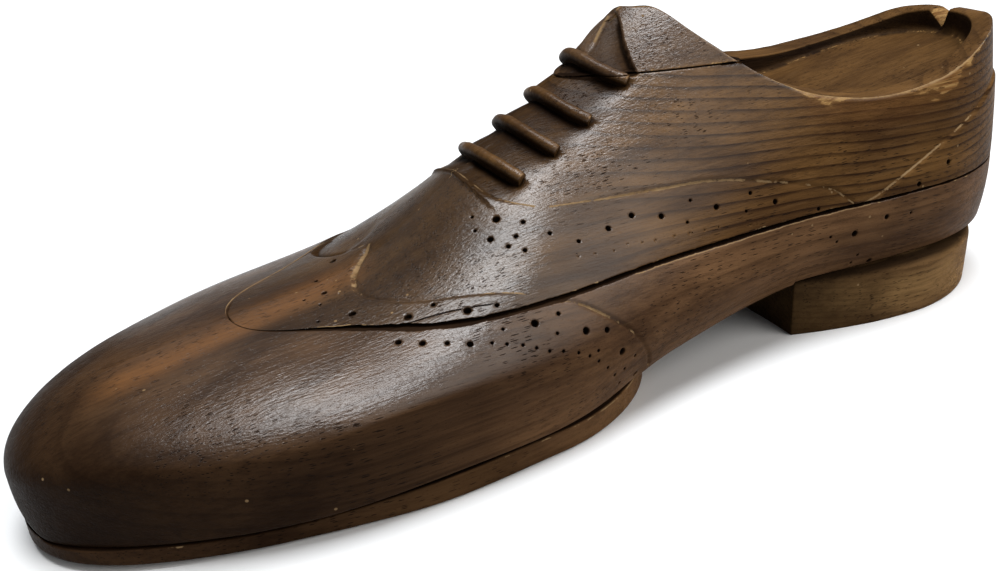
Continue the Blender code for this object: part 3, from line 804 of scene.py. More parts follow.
class Mesh:
    """Points, faces and colour marks of one piece, gathered before it is made."""

    def __init__(self):
        self.points = []
        self.marks = {name: [] for name in PLAIN}
        self.faces = []
        self.total = 0

    def add(self, points, marks=None):
        """Add points and return the index of each."""
        flat = points.reshape(-1, 3)
        first = self.total
        self.points.append(flat)
        self.total += len(flat)
        marks = marks or {}
        for name, stored in self.marks.items():
            values = np.broadcast_to(marks.get(name, PLAIN[name]), points.shape[:-1])
            stored.append(np.asarray(values, float).reshape(-1))
        return np.arange(first, self.total).reshape(points.shape[:-1])

    def quads(self, index):
        """Faces between neighbours in a grid of indices."""
        a, b = index[:-1, :-1], index[:-1, 1:]
        c, d = index[1:, 1:], index[1:, :-1]
        self.faces.append(np.stack((a, b, c, d), -1).reshape(-1, 4))

    def tube(self, index):
        """Faces between closed rings, a row of indices each."""
        self.quads(np.concatenate((index, index[:, :1]), 1))

    def make(self, name):
        points = np.concatenate(self.points) * MM
        faces = np.concatenate(self.faces)
        used = np.zeros(len(points), bool)
        used[faces.ravel()] = True
        number = np.cumsum(used) - 1
        mesh = bpy.data.meshes.new(name)
        mesh.from_pydata(points[used].tolist(), [], number[faces].tolist())
        for mark, blocks in self.marks.items():
            layer = mesh.attributes.new(mark, "FLOAT", "POINT")
            layer.data.foreach_set("value", np.concatenate(blocks)[used])
        bm = bmesh.new()
        bm.from_mesh(mesh)
        bmesh.ops.remove_doubles(bm, verts=bm.verts, dist=0.000002)
        bmesh.ops.dissolve_degenerate(bm, edges=bm.edges, dist=0.0000005)
        bm.normal_update()
        for face in bm.faces:
            face.smooth = True
        return mesh, bm


def stitch(bm, outer, inner, turn):
    """Faces between two closed loops of corners that run round one centre."""
    outer = sorted(outer, key=lambda vert: turn(vert.co))
    inner = sorted(inner, key=lambda vert: turn(vert.co))
    i = j = 0
    n, m = len(outer), len(inner)
    while i < n or j < m:
        next_outer = turn(outer[(i + 1) % n].co) + (2 * math.pi if i + 1 >= n else 0.0)
        next_inner = turn(inner[(j + 1) % m].co) + (2 * math.pi if j + 1 >= m else 0.0)
        if j >= m or (i < n and next_outer <= next_inner):
            corners = (outer[i % n], outer[(i + 1) % n], inner[j % m])
            i += 1
        else:
            corners = (outer[i % n], inner[(j + 1) % m], inner[j % m])
            j += 1
        bm.faces.new(corners).smooth = True


def join_rings(bm, rings):
    """Smooth faces between rings that have the same number of corners."""
    made = []
    for before, after in zip(rings, rings[1:]):
        for k in range(len(before)):
            j = (k + 1) % len(before)
            face = bm.faces.new((before[k], before[j], after[j], after[k]))
            face.smooth = True
            made.append(face)
    return made


# Rings of a drilled hole: width and depth as multiples of its radius, and painted shade
HOLE_RINGS = ((1.0, 0.0, 0.1), (0.88, 0.2, 0.75), (0.8, 0.7, 1.0), (0.62, 1.4, 1.0), (0.25, 1.7, 1.0))
DENT_RINGS = ((1.0, 0.0, 0.0), (0.72, 0.35, 0.1), (0.3, 0.7, 0.6))
DENT_GOLD = 0.35
HOLE_CORNERS = 18
HOLE_MARGIN = 0.0004    # metres round a hole in which the skin is made anew
HOLE_CLEAR = 1.02       # least distance of the skin's corners, as a multiple of the radius
HOLE_MARKS = ("polish", "stain", "rings", "warm", "lip")    # taken from the skin round the hole
MIRROR_FROM_X = -60.0   # holes in front of this are on the near side only


def open_skin(tree, faces, centre, normal, radius):
    """Faces to take away for a hole and the loop of corners round them, if it is clean."""
    chosen = set()
    for _, number, _ in tree.find_range(centre, radius + HOLE_MARGIN):
        face = faces[number]
        if face.is_valid and face.normal.dot(normal) > 0.5:
            chosen.add(face)
    border = [e for face in chosen for e in face.edges if sum(f in chosen for f in e.link_faces) == 1]
    loop = {vert for edge in border for vert in edge.verts}
    if len(chosen) < 3 or len(loop) != len(border):
        return None
    away = [vert.co - centre for vert in loop]
    clear = min((a - normal * a.dot(normal)).length for a in away)
    return (list(chosen), loop) if clear >= radius * HOLE_CLEAR else None


def drill(bm, tree, faces, centre, normal, radius, rings):
    """A round hole with a crisp edge, let into the skin."""
    side = normal.orthogonal().normalized()
    other = normal.cross(side)

    def turn(point):
        away = point - centre
        return math.atan2(away.dot(other), away.dot(side)) % (2 * math.pi)

    opened = open_skin(tree, faces, centre, normal, radius)
    if not opened:
        return
    chosen, loop = opened
    level = sum((vert.co - centre).dot(normal) for vert in loop) / len(loop)
    bmesh.ops.delete(bm, geom=chosen, context="FACES")
    layers = bm.verts.layers.float
    around = {name: sum(vert[layers[name]] for vert in loop) / len(loop) for name in HOLE_MARKS}
    around["gold"] = DENT_GOLD if rings is DENT_RINGS else 0.0
    made = []
    for wide, deep, shade in rings:
        ring = []
        for k in range(HOLE_CORNERS):
            angle = 2 * math.pi * k / HOLE_CORNERS
            spoke = side * math.cos(angle) + other * math.sin(angle)
            vert = bm.verts.new(centre + normal * (level - deep * radius) + spoke * radius * wide)
            # painted shade down the hole
            vert[layers["dark"]] = shade
            for name, value in around.items():
                vert[layers[name]] = value
            ring.append(vert)
        made.append(ring)
    join_rings(bm, made)
    bm.faces.new(made[-1]).smooth = True
    stitch(bm, loop, made[0], turn)


def drill_all(bm, keep):
    """Drill every brogue hole that lies on this piece, on both sides of the shoe."""
    bm.faces.ensure_lookup_table()
    faces = list(bm.faces)
    tree = KDTree(len(faces))
    for number, face in enumerate(faces):
        tree.insert(face.calc_center_median(), number)
    tree.balance()
    jobs = [(radius, spot, HOLE_RINGS) for radius, spots in HOLES.items() for spot in spots]
    jobs += [(DENT_RADIUS, spot, DENT_RINGS) for spot in DENTS]
    for radius, (x, tape), rings in jobs:
        both = x >= MIRROR_FROM_X and rings is HOLE_RINGS
        for place_tape in ((tape, -tape) if both else (tape,)):
            point, normal = place(x, place_tape)
            if keep(point, radius):
                point = Vector(point * MM)
                normal = Vector(normal).normalized()
                spot = tree.find(point)[0]
                centre = point + normal * (spot - point).dot(normal)
                drill(bm, tree, faces, centre, normal, radius * MM, rings)


def settle(mesh, bm, name, material, node):
    """Turn a finished mesh into a piece that stands for a CAD node."""
    bm.normal_update()
    bm.to_mesh(mesh)
    bm.free()
    mesh.materials.append(material)
    piece = bpy.data.objects.new(name, mesh)
    bpy.context.scene.collection.objects.link(piece)
    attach(piece, BODY)
    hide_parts(node)


SIDES = ((-1, NEAR_COLUMNS), (1, FAR_COLUMNS))


def carved_rings(u, sides, lay, works, wears, finish):
    """Closed rings of a board's points with their marks, drawn together at both ends.

    lay gives the path of a side and something more, which finish is given
    along with the carved side. Both sides share their first and last point.
    """
    halves = []
    for side, columns in sides:
        path, more = lay(u, side, columns)
        points, marks, skin = carve(*path.finish(), side, works, *wears)
        finish(points, marks, skin, side, more)
        halves.append((points, marks))
    (near, near_marks), (far, far_marks) = halves

    def join(first, second):
        return np.concatenate((first, second[:, -2:0:-1]), 1)

    ring = join(near, far)
    for row in (0, -1):
        ring[row] = ring[row].mean(0)
    return ring, {name: join(near_marks[name], far_marks[name]) for name in PLAIN}


def tube(name, ring, colours):
    """A board's mesh from its closed rings."""
    shape = Mesh()
    shape.tube(shape.add(ring, colours))
    return shape.make(name)


def edge_point(strip, run):
    """Y and z of each row's skin at its own tape distance."""
    y, z, tape = strip
    return in_rows(run, tape, y), in_rows(run, tape, z)


def track_skin(u, spans, shares):
    """Curves over the skin at shares of each side's span, for even_stations."""
    found = []
    for side in (-1, 1):
        strip = strips(u, side)
        start, end = spans(u, side, strip)
        for share in shares:
            found.append(np.stack((x_at(u), *edge_point(strip, start + share * (end - start))), 1))
    return np.stack(found, 1)


def joint_gap(u, side):
    """Half the gap left in the lower joint, with chips broken from its lips."""
    x = x_at(u)
    gap = np.interp(x, GAP_X, GAP_NEAR if side < 0 else GAP_FAR)
    line = on_line(x, 7.0 * side)
    ragged = rise(x, -84.0, -64.0)
    chips = 1 + ragged * (0.25 * ripple(line, 4.5, 51) + 0.15 * ripple(line, 1.6, 52))
    return np.clip(gap * chips, GAP_NEAR[0], SEAM) / 2


# Lower board

def lower_spans(u, side, strip):
    start = meet(strip[1] - (LOWER_JOINT - joint_gap(u, side))[:, None], strip[2])
    low = lower_limit(u)
    return start, meet(strip[1] - low[:, None] - TINY, strip[2])


def lower_limit(u):
    """Height of the board's underside at its edge: the carved base, or the heel's seat."""
    seat = np.where(x_at(u) > HEEL_FRONT_X - SEAM, HEEL_TOP + HEEL_GAP, 0.0)
    return np.maximum(section(u)["base"], seat)


def lower_path(u, side, columns):
    """From the joint down the skin to the welt, then round the sole or over the heel.

    It gives the path and the columns of the sole's edge.
    """
    x = x_at(u)
    cut = section(u)
    strip = strips(u, side)
    start, end = lower_spans(u, side, strip)
    edge = edge_point(strip, start)
    flat = np.where(start > 0, np.minimum(edge[1], LOWER_TOP), cut["crown"])
    path = Path(u, side, np.stack((cut["ridge"], flat), 1))
    path.lip(*edge, flat, 5)
    worn = np.clip(0.35 + 0.3 * ripple(on_line(x), 9.0, 53), 0.15, 0.7)
    path.corner(worn * np.interp(x, (-62.0, -40.0), (0.25, 1.0)))
    path.skin(strip, start, end, columns)
    path.corner(np.where(x < SOLE_END_X, 1.5, 0.9))

    half = np.where((x > x_at(0) + SOLE_START) & (x < SOLE_END_X), sole_half(u), 0.0)
    has_sole = half > 0
    over_heel = x > HEEL_FRONT_X - SEAM
    middle = middle_at(u)
    base = lower_limit(u)
    bottom = np.where(has_sole, spring(u), base)
    welt = np.where(has_sole, spring(u) + smooth(SOLE_EDGE, u, SOLE_STATION), base)
    welt = np.minimum(welt, base)
    core_y = middle + side * np.maximum(half - WELT_DEPTH, 0.0)
    edge_y, edge_z = edge_point(strip, end)
    reach = np.minimum(np.abs(edge_y - middle), LIP_REACH)
    seat = np.minimum(HEEL_TOP + SEAM / 2, edge_z + reach)
    path.line(np.where(over_heel, edge_y - side * reach, core_y), np.where(over_heel, seat, base), 4)
    seat = path.points[-1][:, -1, 1]
    bottom = np.where(over_heel, seat, bottom)
    welt = np.where(over_heel, seat, welt)
    path.line(core_y, welt, 4)
    path.line(middle + side * half, welt, 4)
    first = path.count() - 1
    path.corner(0.5)
    path.line(middle + side * half, bottom, 11)
    path.corner(0.9)
    sole = slice(first, path.count())
    path.line(middle, bottom, 7)
    return path, sole


def sole_wear(points, sole, marks):
    """The sole's edge is lighter at the ball, with a worn line along its top."""
    band = points[:, sole]
    x = band[..., 0]
    grain = ripple(band, 16.0, 41, long=3.0)
    marks["dark"][:, sole.start:] = PLAIN["dark"]
    marks["stain"][:, sole.start:] *= 0.75
    marks["gold"][:, sole] = rise(x, -105.0, -45.0) * (0.26 + 0.2 * grain)
    marks["lip"][:, sole] = size_of(band - band[:, :1])
    marks["lip_worn"][:, sole] = 0.25 + 0.3 * rise(x, -60.0, 0.0)


# Pale chips on the lip of the lower joint, by x
CHIP_X = (-96, -93, -72, -60, -5, 8, 52, 72, 80, 150)
CHIPS_NEAR = (0, 0.12, 0.2, 0.15, 0.2, 0.95, 1.0, 0.8, 0.35, 0.35)
CHIPS_FAR = (0, 1.0, 1.0, 0.8, 0.3, 0.5, 0.5, 0.5, 0.3, 0.3)


def lower_wear(x, side):
    return np.interp(x, CHIP_X, CHIPS_NEAR if side < 0 else CHIPS_FAR)


LOWEST_HOLE_Z = 9.0


def lower_board(material):
    def track(u):
        """The skin's curves, and the plan of the sole's edge."""
        x = x_at(u)
        sole = np.stack((x, np.where(x < SOLE_END_X, sole_half(u), 0.0), u * 0), 1)
        return np.concatenate((track_skin(u, lower_spans, (0.0, 0.3, 0.6, 1.0)), sole[:, None]), 1)

    def finish(points, marks, skin, side, sole):
        marks["lip"] *= 0.55 if side > 0 else 1.0
        sole_wear(points, sole, marks)

    u = even_stations(0.0002, 0.9998, ROW_STEP, track)
    works = (wing, toe_streak, hand_work, stain, ring_contrast)
    rings = carved_rings(u, SIDES, lower_path, works, (lower_wear, no_wear), finish)
    mesh, bm = tube("lower_board", *rings)
    drill_all(bm, lambda point, radius: LOWEST_HOLE_Z < point[2] < LOWER_TOP - radius - 0.1)
    settle(mesh, bm, "lower_board", material, "lower_block")


# Upper board

SPLIT_X = 44.0          # the foot opening's mesh starts here
OPENING_X = 100.0       # centre of the rings round the foot opening
LAND_RINGS = 14
WALL_RINGS = 12
FLOOR_RINGS = 18
SKIN_BLEND = 1.2        # the rim's land follows the skin's edge over this width
EDGE_ROUND = 1.1        # at the wall it is worn round over this width
EDGE_DROP = 0.35        # and by this much
WALL_FILLET = 0.9       # how far the wall comes in at the floor
FLOOR_FILLET = 0.35     # how far the floor rises at the wall
TOP_COLUMNS = 6
NOTCH_INNER = (139.0, -1.6)     # bottom of the break in the back rim, at its inner edge
NOTCH_LEAN = 0.2
NOTCH_DEPTH = 5.2
NOTCH_RISE = 0.36
NOTCH_FAR = 5.2
NOTCH_NEAR = 1.9


def top_cut(x, y):
    """The rim's height, and far above everything in front of the cut."""
    return np.where(x < x_at(RIM_STATION[0]), 1e3, rim_at(x, y))


def lip_gap(x):
    """Half the gap left at the edge of the upper joint."""
    return 0.02 + 0.13 * ease((x - SEAM_OPENS_X) / 5.0)


def top_limit(x, y):
    return np.where(x < TONGUE_END_X, np.minimum(UPPER_JOINT - lip_gap(x), top_cut(x, y)), rim_at(x, y))


def notch_across(x, y):
    """Distance from the notch's bottom line, plus on its far flank."""
    return y - NOTCH_INNER[1] - (x - NOTCH_INNER[0]) * NOTCH_LEAN


def notch_depth(x, y):
    """How deep the broken notch in the back rim goes at a place."""
    across = notch_across(x, y)
    deep = np.maximum(NOTCH_DEPTH - NOTCH_RISE * (x - NOTCH_INNER[0]), 1.0)
    shape = np.where(across > 0, 1 - across / NOTCH_FAR, 1 + across / NOTCH_NEAR)
    return np.where(x > NOTCH_INNER[0] - 8.0, deep * np.clip(shape, 0, 1), 0.0)


def notch_marks(x, y, marks):
    """Torn wood on the notch's far flank, and shade on its near one."""
    deep = ease(notch_depth(x, y) / 0.8)
    far = notch_across(x, y) > 0
    marks["gold"] = np.maximum(marks.get("gold", 0.0), 0.75 * deep * far)
    marks["dark"] = np.maximum(marks.get("dark", 0.0), 0.85 * deep * ~far)


def pocket_edge(shrink):
    """Plan of the foot opening, larger towards the top by its draft."""
    t = 0.5 - 0.5 * np.cos(np.linspace(0, np.pi, 61))
    front, back = POCKET_FRONT_X + shrink, POCKET_BACK_X - shrink
    x = front + t * (back - front)
    plan = rounded(x - front, *POCKET_FRONT_ROUND) * rounded(back - x, *POCKET_BACK_ROUND)
    wide = np.minimum(u_at(x), POCKET_WIDE_END)
    sides = []
    for side, wall, heights in ((-1, WALL_NEAR, RIM_NEAR), (1, WALL_FAR, RIM_FAR)):
        outer = breadth(wide, smooth(heights, wide, RIM_STATION), side)
        inner = outer - side * (wall + shrink)
        sides.append(np.stack((x, HEEL_MIDDLE_Y + (inner - HEEL_MIDDLE_Y) * plan), 1))
    return np.concatenate((sides[0], sides[1][::-1]))


def ring_radius(outline, angles):
    """Distance from the opening's centre to a closed outline, at each angle."""
    away = outline - np.array((OPENING_X, HEEL_MIDDLE_Y))
    turn = np.arctan2(away[:, 1], away[:, 0])
    order = np.argsort(turn)
    return np.interp(angles, turn[order], np.hypot(*away.T)[order], period=2 * np.pi)


def floor_at(x):
    t = (x - POCKET_FRONT_X) / (POCKET_BACK_X - POCKET_FRONT_X)
    return POCKET_FLOOR_FRONT + t * (POCKET_FLOOR_BACK - POCKET_FLOOR_FRONT)


def land_at(x, y):
    return top_limit(x, y) - notch_depth(x, y)


class Opening:
    """Rings of points in the foot opening, all round one centre."""

    def __init__(self, shape, loop, points):
        self.shape = shape
        self.centre = np.array((OPENING_X, HEEL_MIDDLE_Y))
        self.start = points
        away = points[:, :2] - self.centre
        self.angles = np.arctan2(away[:, 1], away[:, 0])
        self.direction = np.stack((np.cos(self.angles), np.sin(self.angles)), 1)
        self.outer = np.hypot(*away.T)
        self.around = np.arange(len(self.angles)) * 0.6
        self.torn = patches(self.around, 74, 0.7)
        draft = 4 * POCKET_DRAFT / POCKET_CUT_HEIGHT
        self.top = ring_radius(pocket_edge(POCKET_DRAFT - 4.0 * draft), self.angles)
        self.low = ring_radius(pocket_edge(POCKET_DRAFT), self.angles)
        self.rings = [loop]

    def at(self, radius):
        return self.centre + self.direction * radius[:, None]

    def add(self, xy, z, marks):
        self.rings.append(self.shape.add(np.column_stack((xy, z)), marks))

    def land(self):
        """The rim's flat top, from the skin's edge in to the wall; gives its last heights."""
        reach = self.outer - self.top
        drop = land_at(*self.start[:, :2].T) - self.start[:, 2]
        for offset in spread(reach, LAND_RINGS + 2)[:, 1:].T:
            xy = self.at(self.outer - offset)
            outside = np.clip(1 - offset / SKIN_BLEND, 0, 1) ** 2
            inside = np.clip(1 - (reach - offset) / EDGE_ROUND, 0, 1) ** 2
            z = land_at(*xy.T) - outside * drop - EDGE_DROP * inside
            z = z - 0.10 * ripple(np.column_stack((xy, z)), 6.0, 71) * (1 - inside) * (1 - outside)
            marks = {"gold": 0.12 + 0.25 * inside, "lip": offset, "lip_worn": 0.3}
            notch_marks(*xy.T, marks)
            self.add(xy, z, marks)
        return z

    def wall(self, edge_z):
        """Down from the rim to a small fillet at the floor; gives its last radius."""
        wave = ripple(on_line(self.around), 9.0, 73)
        for t in np.linspace(0, 1, WALL_RINGS + 1)[1:]:
            fillet = WALL_FILLET * max(t - 0.8, 0.0) / 0.2
            radius = self.top + (self.low - self.top) * t - fillet
            radius = radius + 0.2 * wave * math.sin(math.pi * min(t, 0.9))
            xy = self.at(radius)
            z = edge_z + (floor_at(xy[:, 0]) + FLOOR_FILLET - edge_z) * t
            line = math.exp(-((1 - t) / 0.10) ** 2)
            # painted shade on the wall: its dark mark and the darker wood both stand for shade
            shade = 0.62 * math.sin(math.pi * min(t * 1.05 + 0.1, 1.0))
            self.add(xy, z, {"dark": shade * (1 - line), "gold": 0.6 * line * self.torn, "stain": 0.8})
        return radius

    def floor(self, radius):
        """From the wall in to the centre, with a faint waviness."""
        for t in np.linspace(0, 1, FLOOR_RINGS + 1)[1:]:
            xy = self.at(radius * (1 - t))
            inset = radius * t
            z = floor_at(xy[:, 0]) + FLOOR_FILLET * bell(inset, 1.2)
            wave = ripple(np.column_stack((xy, z)), 15.0, 75, 2.5)
            z = z + 0.14 * wave * ease(inset / 3.0) * (1 - t)
            seam = bell(inset, 0.8)
            self.add(xy, z, {
                "gold": np.maximum(0.12, 0.7 * seam * self.torn), "rings": 0.1, "stain": 0.15,
                "lip": inset, "lip_worn": 0.9 * self.torn})


def foot_opening(shape, loop, loop_points):
    """Rim, wall and floor of the foot opening, inside a closed loop of points."""
    opening = Opening(shape, loop, loop_points)
    edge_z = opening.land()
    radius = opening.wall(edge_z)
    opening.floor(radius)
    shape.tube(np.stack(opening.rings))


def upper_spans(u, side, strip):
    start = meet(strip[1] - top_limit(x_at(u)[:, None], strip[0]), strip[2])
    end = meet(strip[1] - (LOWER_JOINT + joint_gap(u, side))[:, None], strip[2])
    return start, np.maximum(end, start)


def upper_path(u, side, columns):
    x = x_at(u)
    cut = section(u)
    strip = strips(u, side)
    start, end = upper_spans(u, side, strip)
    middle = cut["ridge"]
    height = np.minimum(cut["crown"], top_limit(x, middle))
    path = Path(u, side, np.stack((middle, height), 1))
    edge = edge_point(strip, start)
    path.points[0][:, 0, 1] = np.minimum(height, np.where(height < UPPER_LIP, height, UPPER_TOP))
    path.lip(*edge, path.points[0][:, 0, 1], TOP_COLUMNS - 1)
    path.corner(np.where(x > SPLIT_X - 4, 1.1, 0.25))
    path.skin(strip, start, end, columns)
    path.corner(0.4)
    lip_z = edge_point(strip, end)[1]
    lifted = np.clip((height - UPPER_BOTTOM) / 2.0 - 0.3, 0, 1)
    path.from_lip(middle, lip_z + (UPPER_BOTTOM - lip_z) * lifted, 4)
    return path, start


# Golden wear under the opening's near rim: how deep it reaches, by x
RIM_GOLD_X = (54, 58, 66, 74, 80, 92, 100, 108, 116, 124)
RIM_GOLD = (0, 1.5, 2.6, 1.2, 0.7, 1.6, 3.4, 4.2, 2.2, 0)


def rim_wear(x, side):
    shown = rise(x, 2.0, 0.0) + rise(x, 9.0, 12.0)
    return 0.35 * shown + 0.5 * rise(x, 50.0, 60.0) * rise(x, 128.0, 116.0)


def upper_wear(x, side):
    return np.interp(x, (-90, -80, -74, -60, 150), (0.3, 0.75, 0.5, 0.25, 0.25)) * (side < 0)


def rim_gold(points, marks, skin):
    """Golden worn patches under the opening's near rim."""
    x = points[..., 0]
    away = size_of(points - points[:, skin.start:skin.start + 1])
    deep = np.interp(x, RIM_GOLD_X, RIM_GOLD)
    rag = ripple(points, 3.0, 83, 2.5) + 0.5 * ripple(points, 1.2, 84, 3.0)
    worn = np.clip((1.3 * deep * (1 + 0.4 * rag) - away) / 2.4, 0, 1)
    marks["gold"] = np.maximum(marks["gold"], worn * (deep > 0.05))
    zone = rise(x, 56.0, 62.0) * rise(x, 122.0, 108.0)
    marks["warm"] = np.maximum(marks["warm"], 0.5 * zone * bell(away, 7.0))


def cut_notch(ring, colours):
    """Take the broken notch out of the back rim, with its marks."""
    x, y = ring[..., 0], ring[..., 1]
    high = np.maximum(ring[..., 2] - land_at(x, y), 0.0) * (notch_depth(x, y) > 0.01)
    ring[..., 2] -= high
    torn = {name: np.where(high > 0, colours[name], 0.0) for name in ("gold", "dark")}
    notch_marks(x, y, torn)
    for name, values in torn.items():
        colours[name] = np.where(high > 0, values, colours[name])


def open_body(shape, index, split, last):
    """Faces of the rows, left open on top from one row to another; gives the opening's loop."""
    near, far = TOP_COLUMNS, index.shape[1] - TOP_COLUMNS
    shape.tube(index[:split + 1])
    shape.tube(index[last:])
    shape.quads(index[split:last + 1, near:far + 1])

    def across(row):
        """Columns over the top of one row, from the near skin to the far skin."""
        return np.concatenate((index[row, near - 1::-1], index[row, :far:-1]))

    return np.concatenate((
        index[split:last + 1, near], across(last), index[split:last + 1, far][::-1], across(split)[::-1]))


def upper_ends():
    """First and last station at which the board has some height."""
    tip = np.linspace(0.1, 0.4, 3000)
    tail = np.linspace(0.9, 0.99995, 3000)[::-1]
    return (
        tip[np.argmax(section(tip)["crown"] > LOWER_JOINT + joint_gap(tip, -1) + 0.02)],
        tail[np.argmax(section(tail)["crown"] > UPPER_BOTTOM)])


def upper_board(material):
    def finish(points, marks, skin, side, start):
        marks["lip_worn"] *= points[..., 0] > (-80.0 if side < 0 else 40.0)
        rim_gold(points, marks, skin)

    u = even_stations(*upper_ends(), ROW_STEP, lambda v: track_skin(v, upper_spans, (0.0, 0.5, 1.0)))
    works = (wing, facings, counter, crack, scoops, throat, toe_streak, hand_work, stain, ring_contrast)
    ring, colours = carved_rings(u, SIDES, upper_path, works, (rim_wear, upper_wear), finish)
    cut_notch(ring, colours)
    starts = [upper_spans(u, side, strips(u, side))[0] for side in (-1, 1)]
    wide = np.flatnonzero((starts[0] > 0.3) & (starts[1] > 0.3))
    shape = Mesh()
    index = shape.add(ring, colours)
    loop = open_body(shape, index, int(np.argmax(x_at(u) > SPLIT_X)), int(wide[-1]))
    foot_opening(shape, loop, ring.reshape(-1, 3)[loop])
    mesh, bm = shape.make("upper_board")
    drill_all(bm, lambda point, radius: LOWER_JOINT + 0.5 < point[2] < UPPER_TOP - 1)
    for ridge_x, lean in LACES[:-1]:
        add_lace(bm, ridge_x, lean)
    add_lace(bm, *LACES[-1], height=UPPER_LIP, below=True)
    settle(mesh, bm, "upper_board", material, "upper_block")


# Lace bars

LACE_STEPS = 44
LACE_CORNERS = 12       # on the round top of a bar's section


def lace_ring(bm, centre, across, up, size, end):
    """Corners of one section of a bar, with their marks; end is its distance from an end."""
    layers = bm.verts.layers.float
    ring = []
    for k in range(LACE_CORNERS + 1):
        angle = math.pi * k / LACE_CORNERS
        spot = across * math.cos(angle) * LACE_HALF_WIDTH
        spot = spot + up * (math.sin(angle) ** 0.8 * LACE_HEIGHT)
        vert = bm.verts.new((centre + size * spot) * MM)
        vert[layers["gold"]] = (0.1 + 0.7 * math.exp(-end / 1.2)) * math.sin(angle) ** 3
        # painted shade at the bar's foot, most on its toe side
        vert[layers["dark"]] = (0.95 if angle > math.pi / 2 else 0.4) * (1 - math.sin(angle))
        vert[layers["rings"]] = 0.15
        vert[layers["polish"]] = max(0.0, (0.25 + 0.75 * math.exp(-end / 4.0)) * math.sin(angle))
        ring.append(vert)
    for wide in (-LACE_HALF_WIDTH, LACE_HALF_WIDTH):
        vert = bm.verts.new((centre + across * wide - up * (LACE_SINK + SCOOP_DEPTH)) * MM)
        # painted shade where the bar meets the skin
        vert[layers["dark"]] = 0.7
        ring.append(vert)
    return ring


def add_lace(bm, ridge_x, lean, height=None, below=True):
    """One half-round bar with square ends over the ridge, cut off at a height if one is given."""
    runs = np.linspace(-LACE_REACH, LACE_REACH, LACE_STEPS + 1)
    placed = [place(lace_x(ridge_x, lean, run), run or -0.01) for run in runs]
    tangents = np.gradient(np.array([point for point, _ in placed]), axis=0)
    tangents /= size_of(tangents)[:, None]
    rings = []
    for i, (centre, up) in enumerate(placed):
        across = np.cross(tangents[i], up)
        across /= np.linalg.norm(across)
        end = min(i, LACE_STEPS - i)
        size = (1.0 - 0.12 * math.exp(-end / 0.7)) * (1.0 + 0.035 * math.sin(i * 0.7 + ridge_x))
        rings.append(lace_ring(bm, centre, across, up, size, end))
    made = join_rings(bm, rings)
    made += [bm.faces.new(rings[0]), bm.faces.new(rings[-1])]
    bmesh.ops.recalc_face_normals(bm, faces=made)
    if height is not None:
        verts = [v for ring in rings for v in ring]
        edges = list({e for v in verts for e in v.link_edges})
        cut = bmesh.ops.bisect_plane(
            bm, geom=verts + edges + made, plane_co=(0, 0, height * MM), plane_no=(0, 0, 1),
            clear_outer=below, clear_inner=not below)
        rim = [e for e in cut["geom_cut"] if isinstance(e, bmesh.types.BMEdge)]
        bmesh.ops.holes_fill(bm, edges=rim, sides=0)


# Tongue block

def tongue_spans(u, side, strip):
    start = meet(strip[1] - top_cut(x_at(u)[:, None], strip[0]), strip[2])
    end = meet(strip[1] - (UPPER_JOINT + lip_gap(x_at(u)))[:, None], strip[2])
    return start, np.maximum(end, start)


def tongue_wear(x, side):
    return np.interp(x, (18, 22, 34, 38, 46), (0, 0.9, 0.75, 0.4, 0.3))


TONGUE_SIDES = ((-1, 90), (1, 60))


def tongue_ends():
    """First and last station at which the block has some height and width."""
    sample = np.linspace(0.45, 0.7, 4000)
    spans = [tongue_spans(sample, side, strips(sample, side)) for side in (-1, 1)]
    wide = np.maximum(spans[0][1] - spans[0][0], spans[1][1] - spans[1][0]) > 0.02
    live = np.flatnonzero((section(sample)["crown"] > TONGUE_LIP) & wide)
    return sample[live[0]], sample[live[-1]]


def tongue_path(u, side, columns):
    x = x_at(u)
    ridge = section(u)["ridge"]
    crown = np.minimum(section(u)["crown"], top_cut(x, ridge))
    strip = strips(u, side)
    start, end = tongue_spans(u, side, strip)
    path = Path(u, side, np.stack((ridge, crown), 1))
    path.line(*edge_point(strip, start), 12)
    path.corner(1.5)
    path.skin(strip, start, end, columns)
    path.corner(0.2)
    path.from_lip(ridge, np.full(len(u), TONGUE_BOTTOM), 4)
    return path, None


def tongue_block(material):
    def track(u):
        return np.stack((x_at(u), section(u)["crown"], u * 0), 1)[:, None]

    def finish(points, marks, skin, side, more):
        worn = 0.6 * bell(marks["lip"], 1.3) * (points[..., 0] > 22)
        marks["gold"] = np.maximum(marks["gold"], worn)

    u = even_stations(*tongue_ends(), TONGUE_STEP, track)
    works = (scoops, throat, hand_work)
    ring, colours = carved_rings(u, TONGUE_SIDES, tongue_path, works, (tongue_wear, no_wear), finish)
    ring[..., 2] = np.maximum(ring[..., 2], UPPER_JOINT + lip_gap(ring[..., 0]))
    mesh, bm = tube("tongue_top", ring, colours)
    add_lace(bm, *LACES[-1], height=TONGUE_LIP, below=False)
    settle(mesh, bm, "tongue_top", material, "tongue_block")


# Heel

HEEL_LIP = HEEL_TOP + 0.25     # the worn-round top closes on the board above
HEEL_CORNERS = 620
HEEL_ROWS = 40


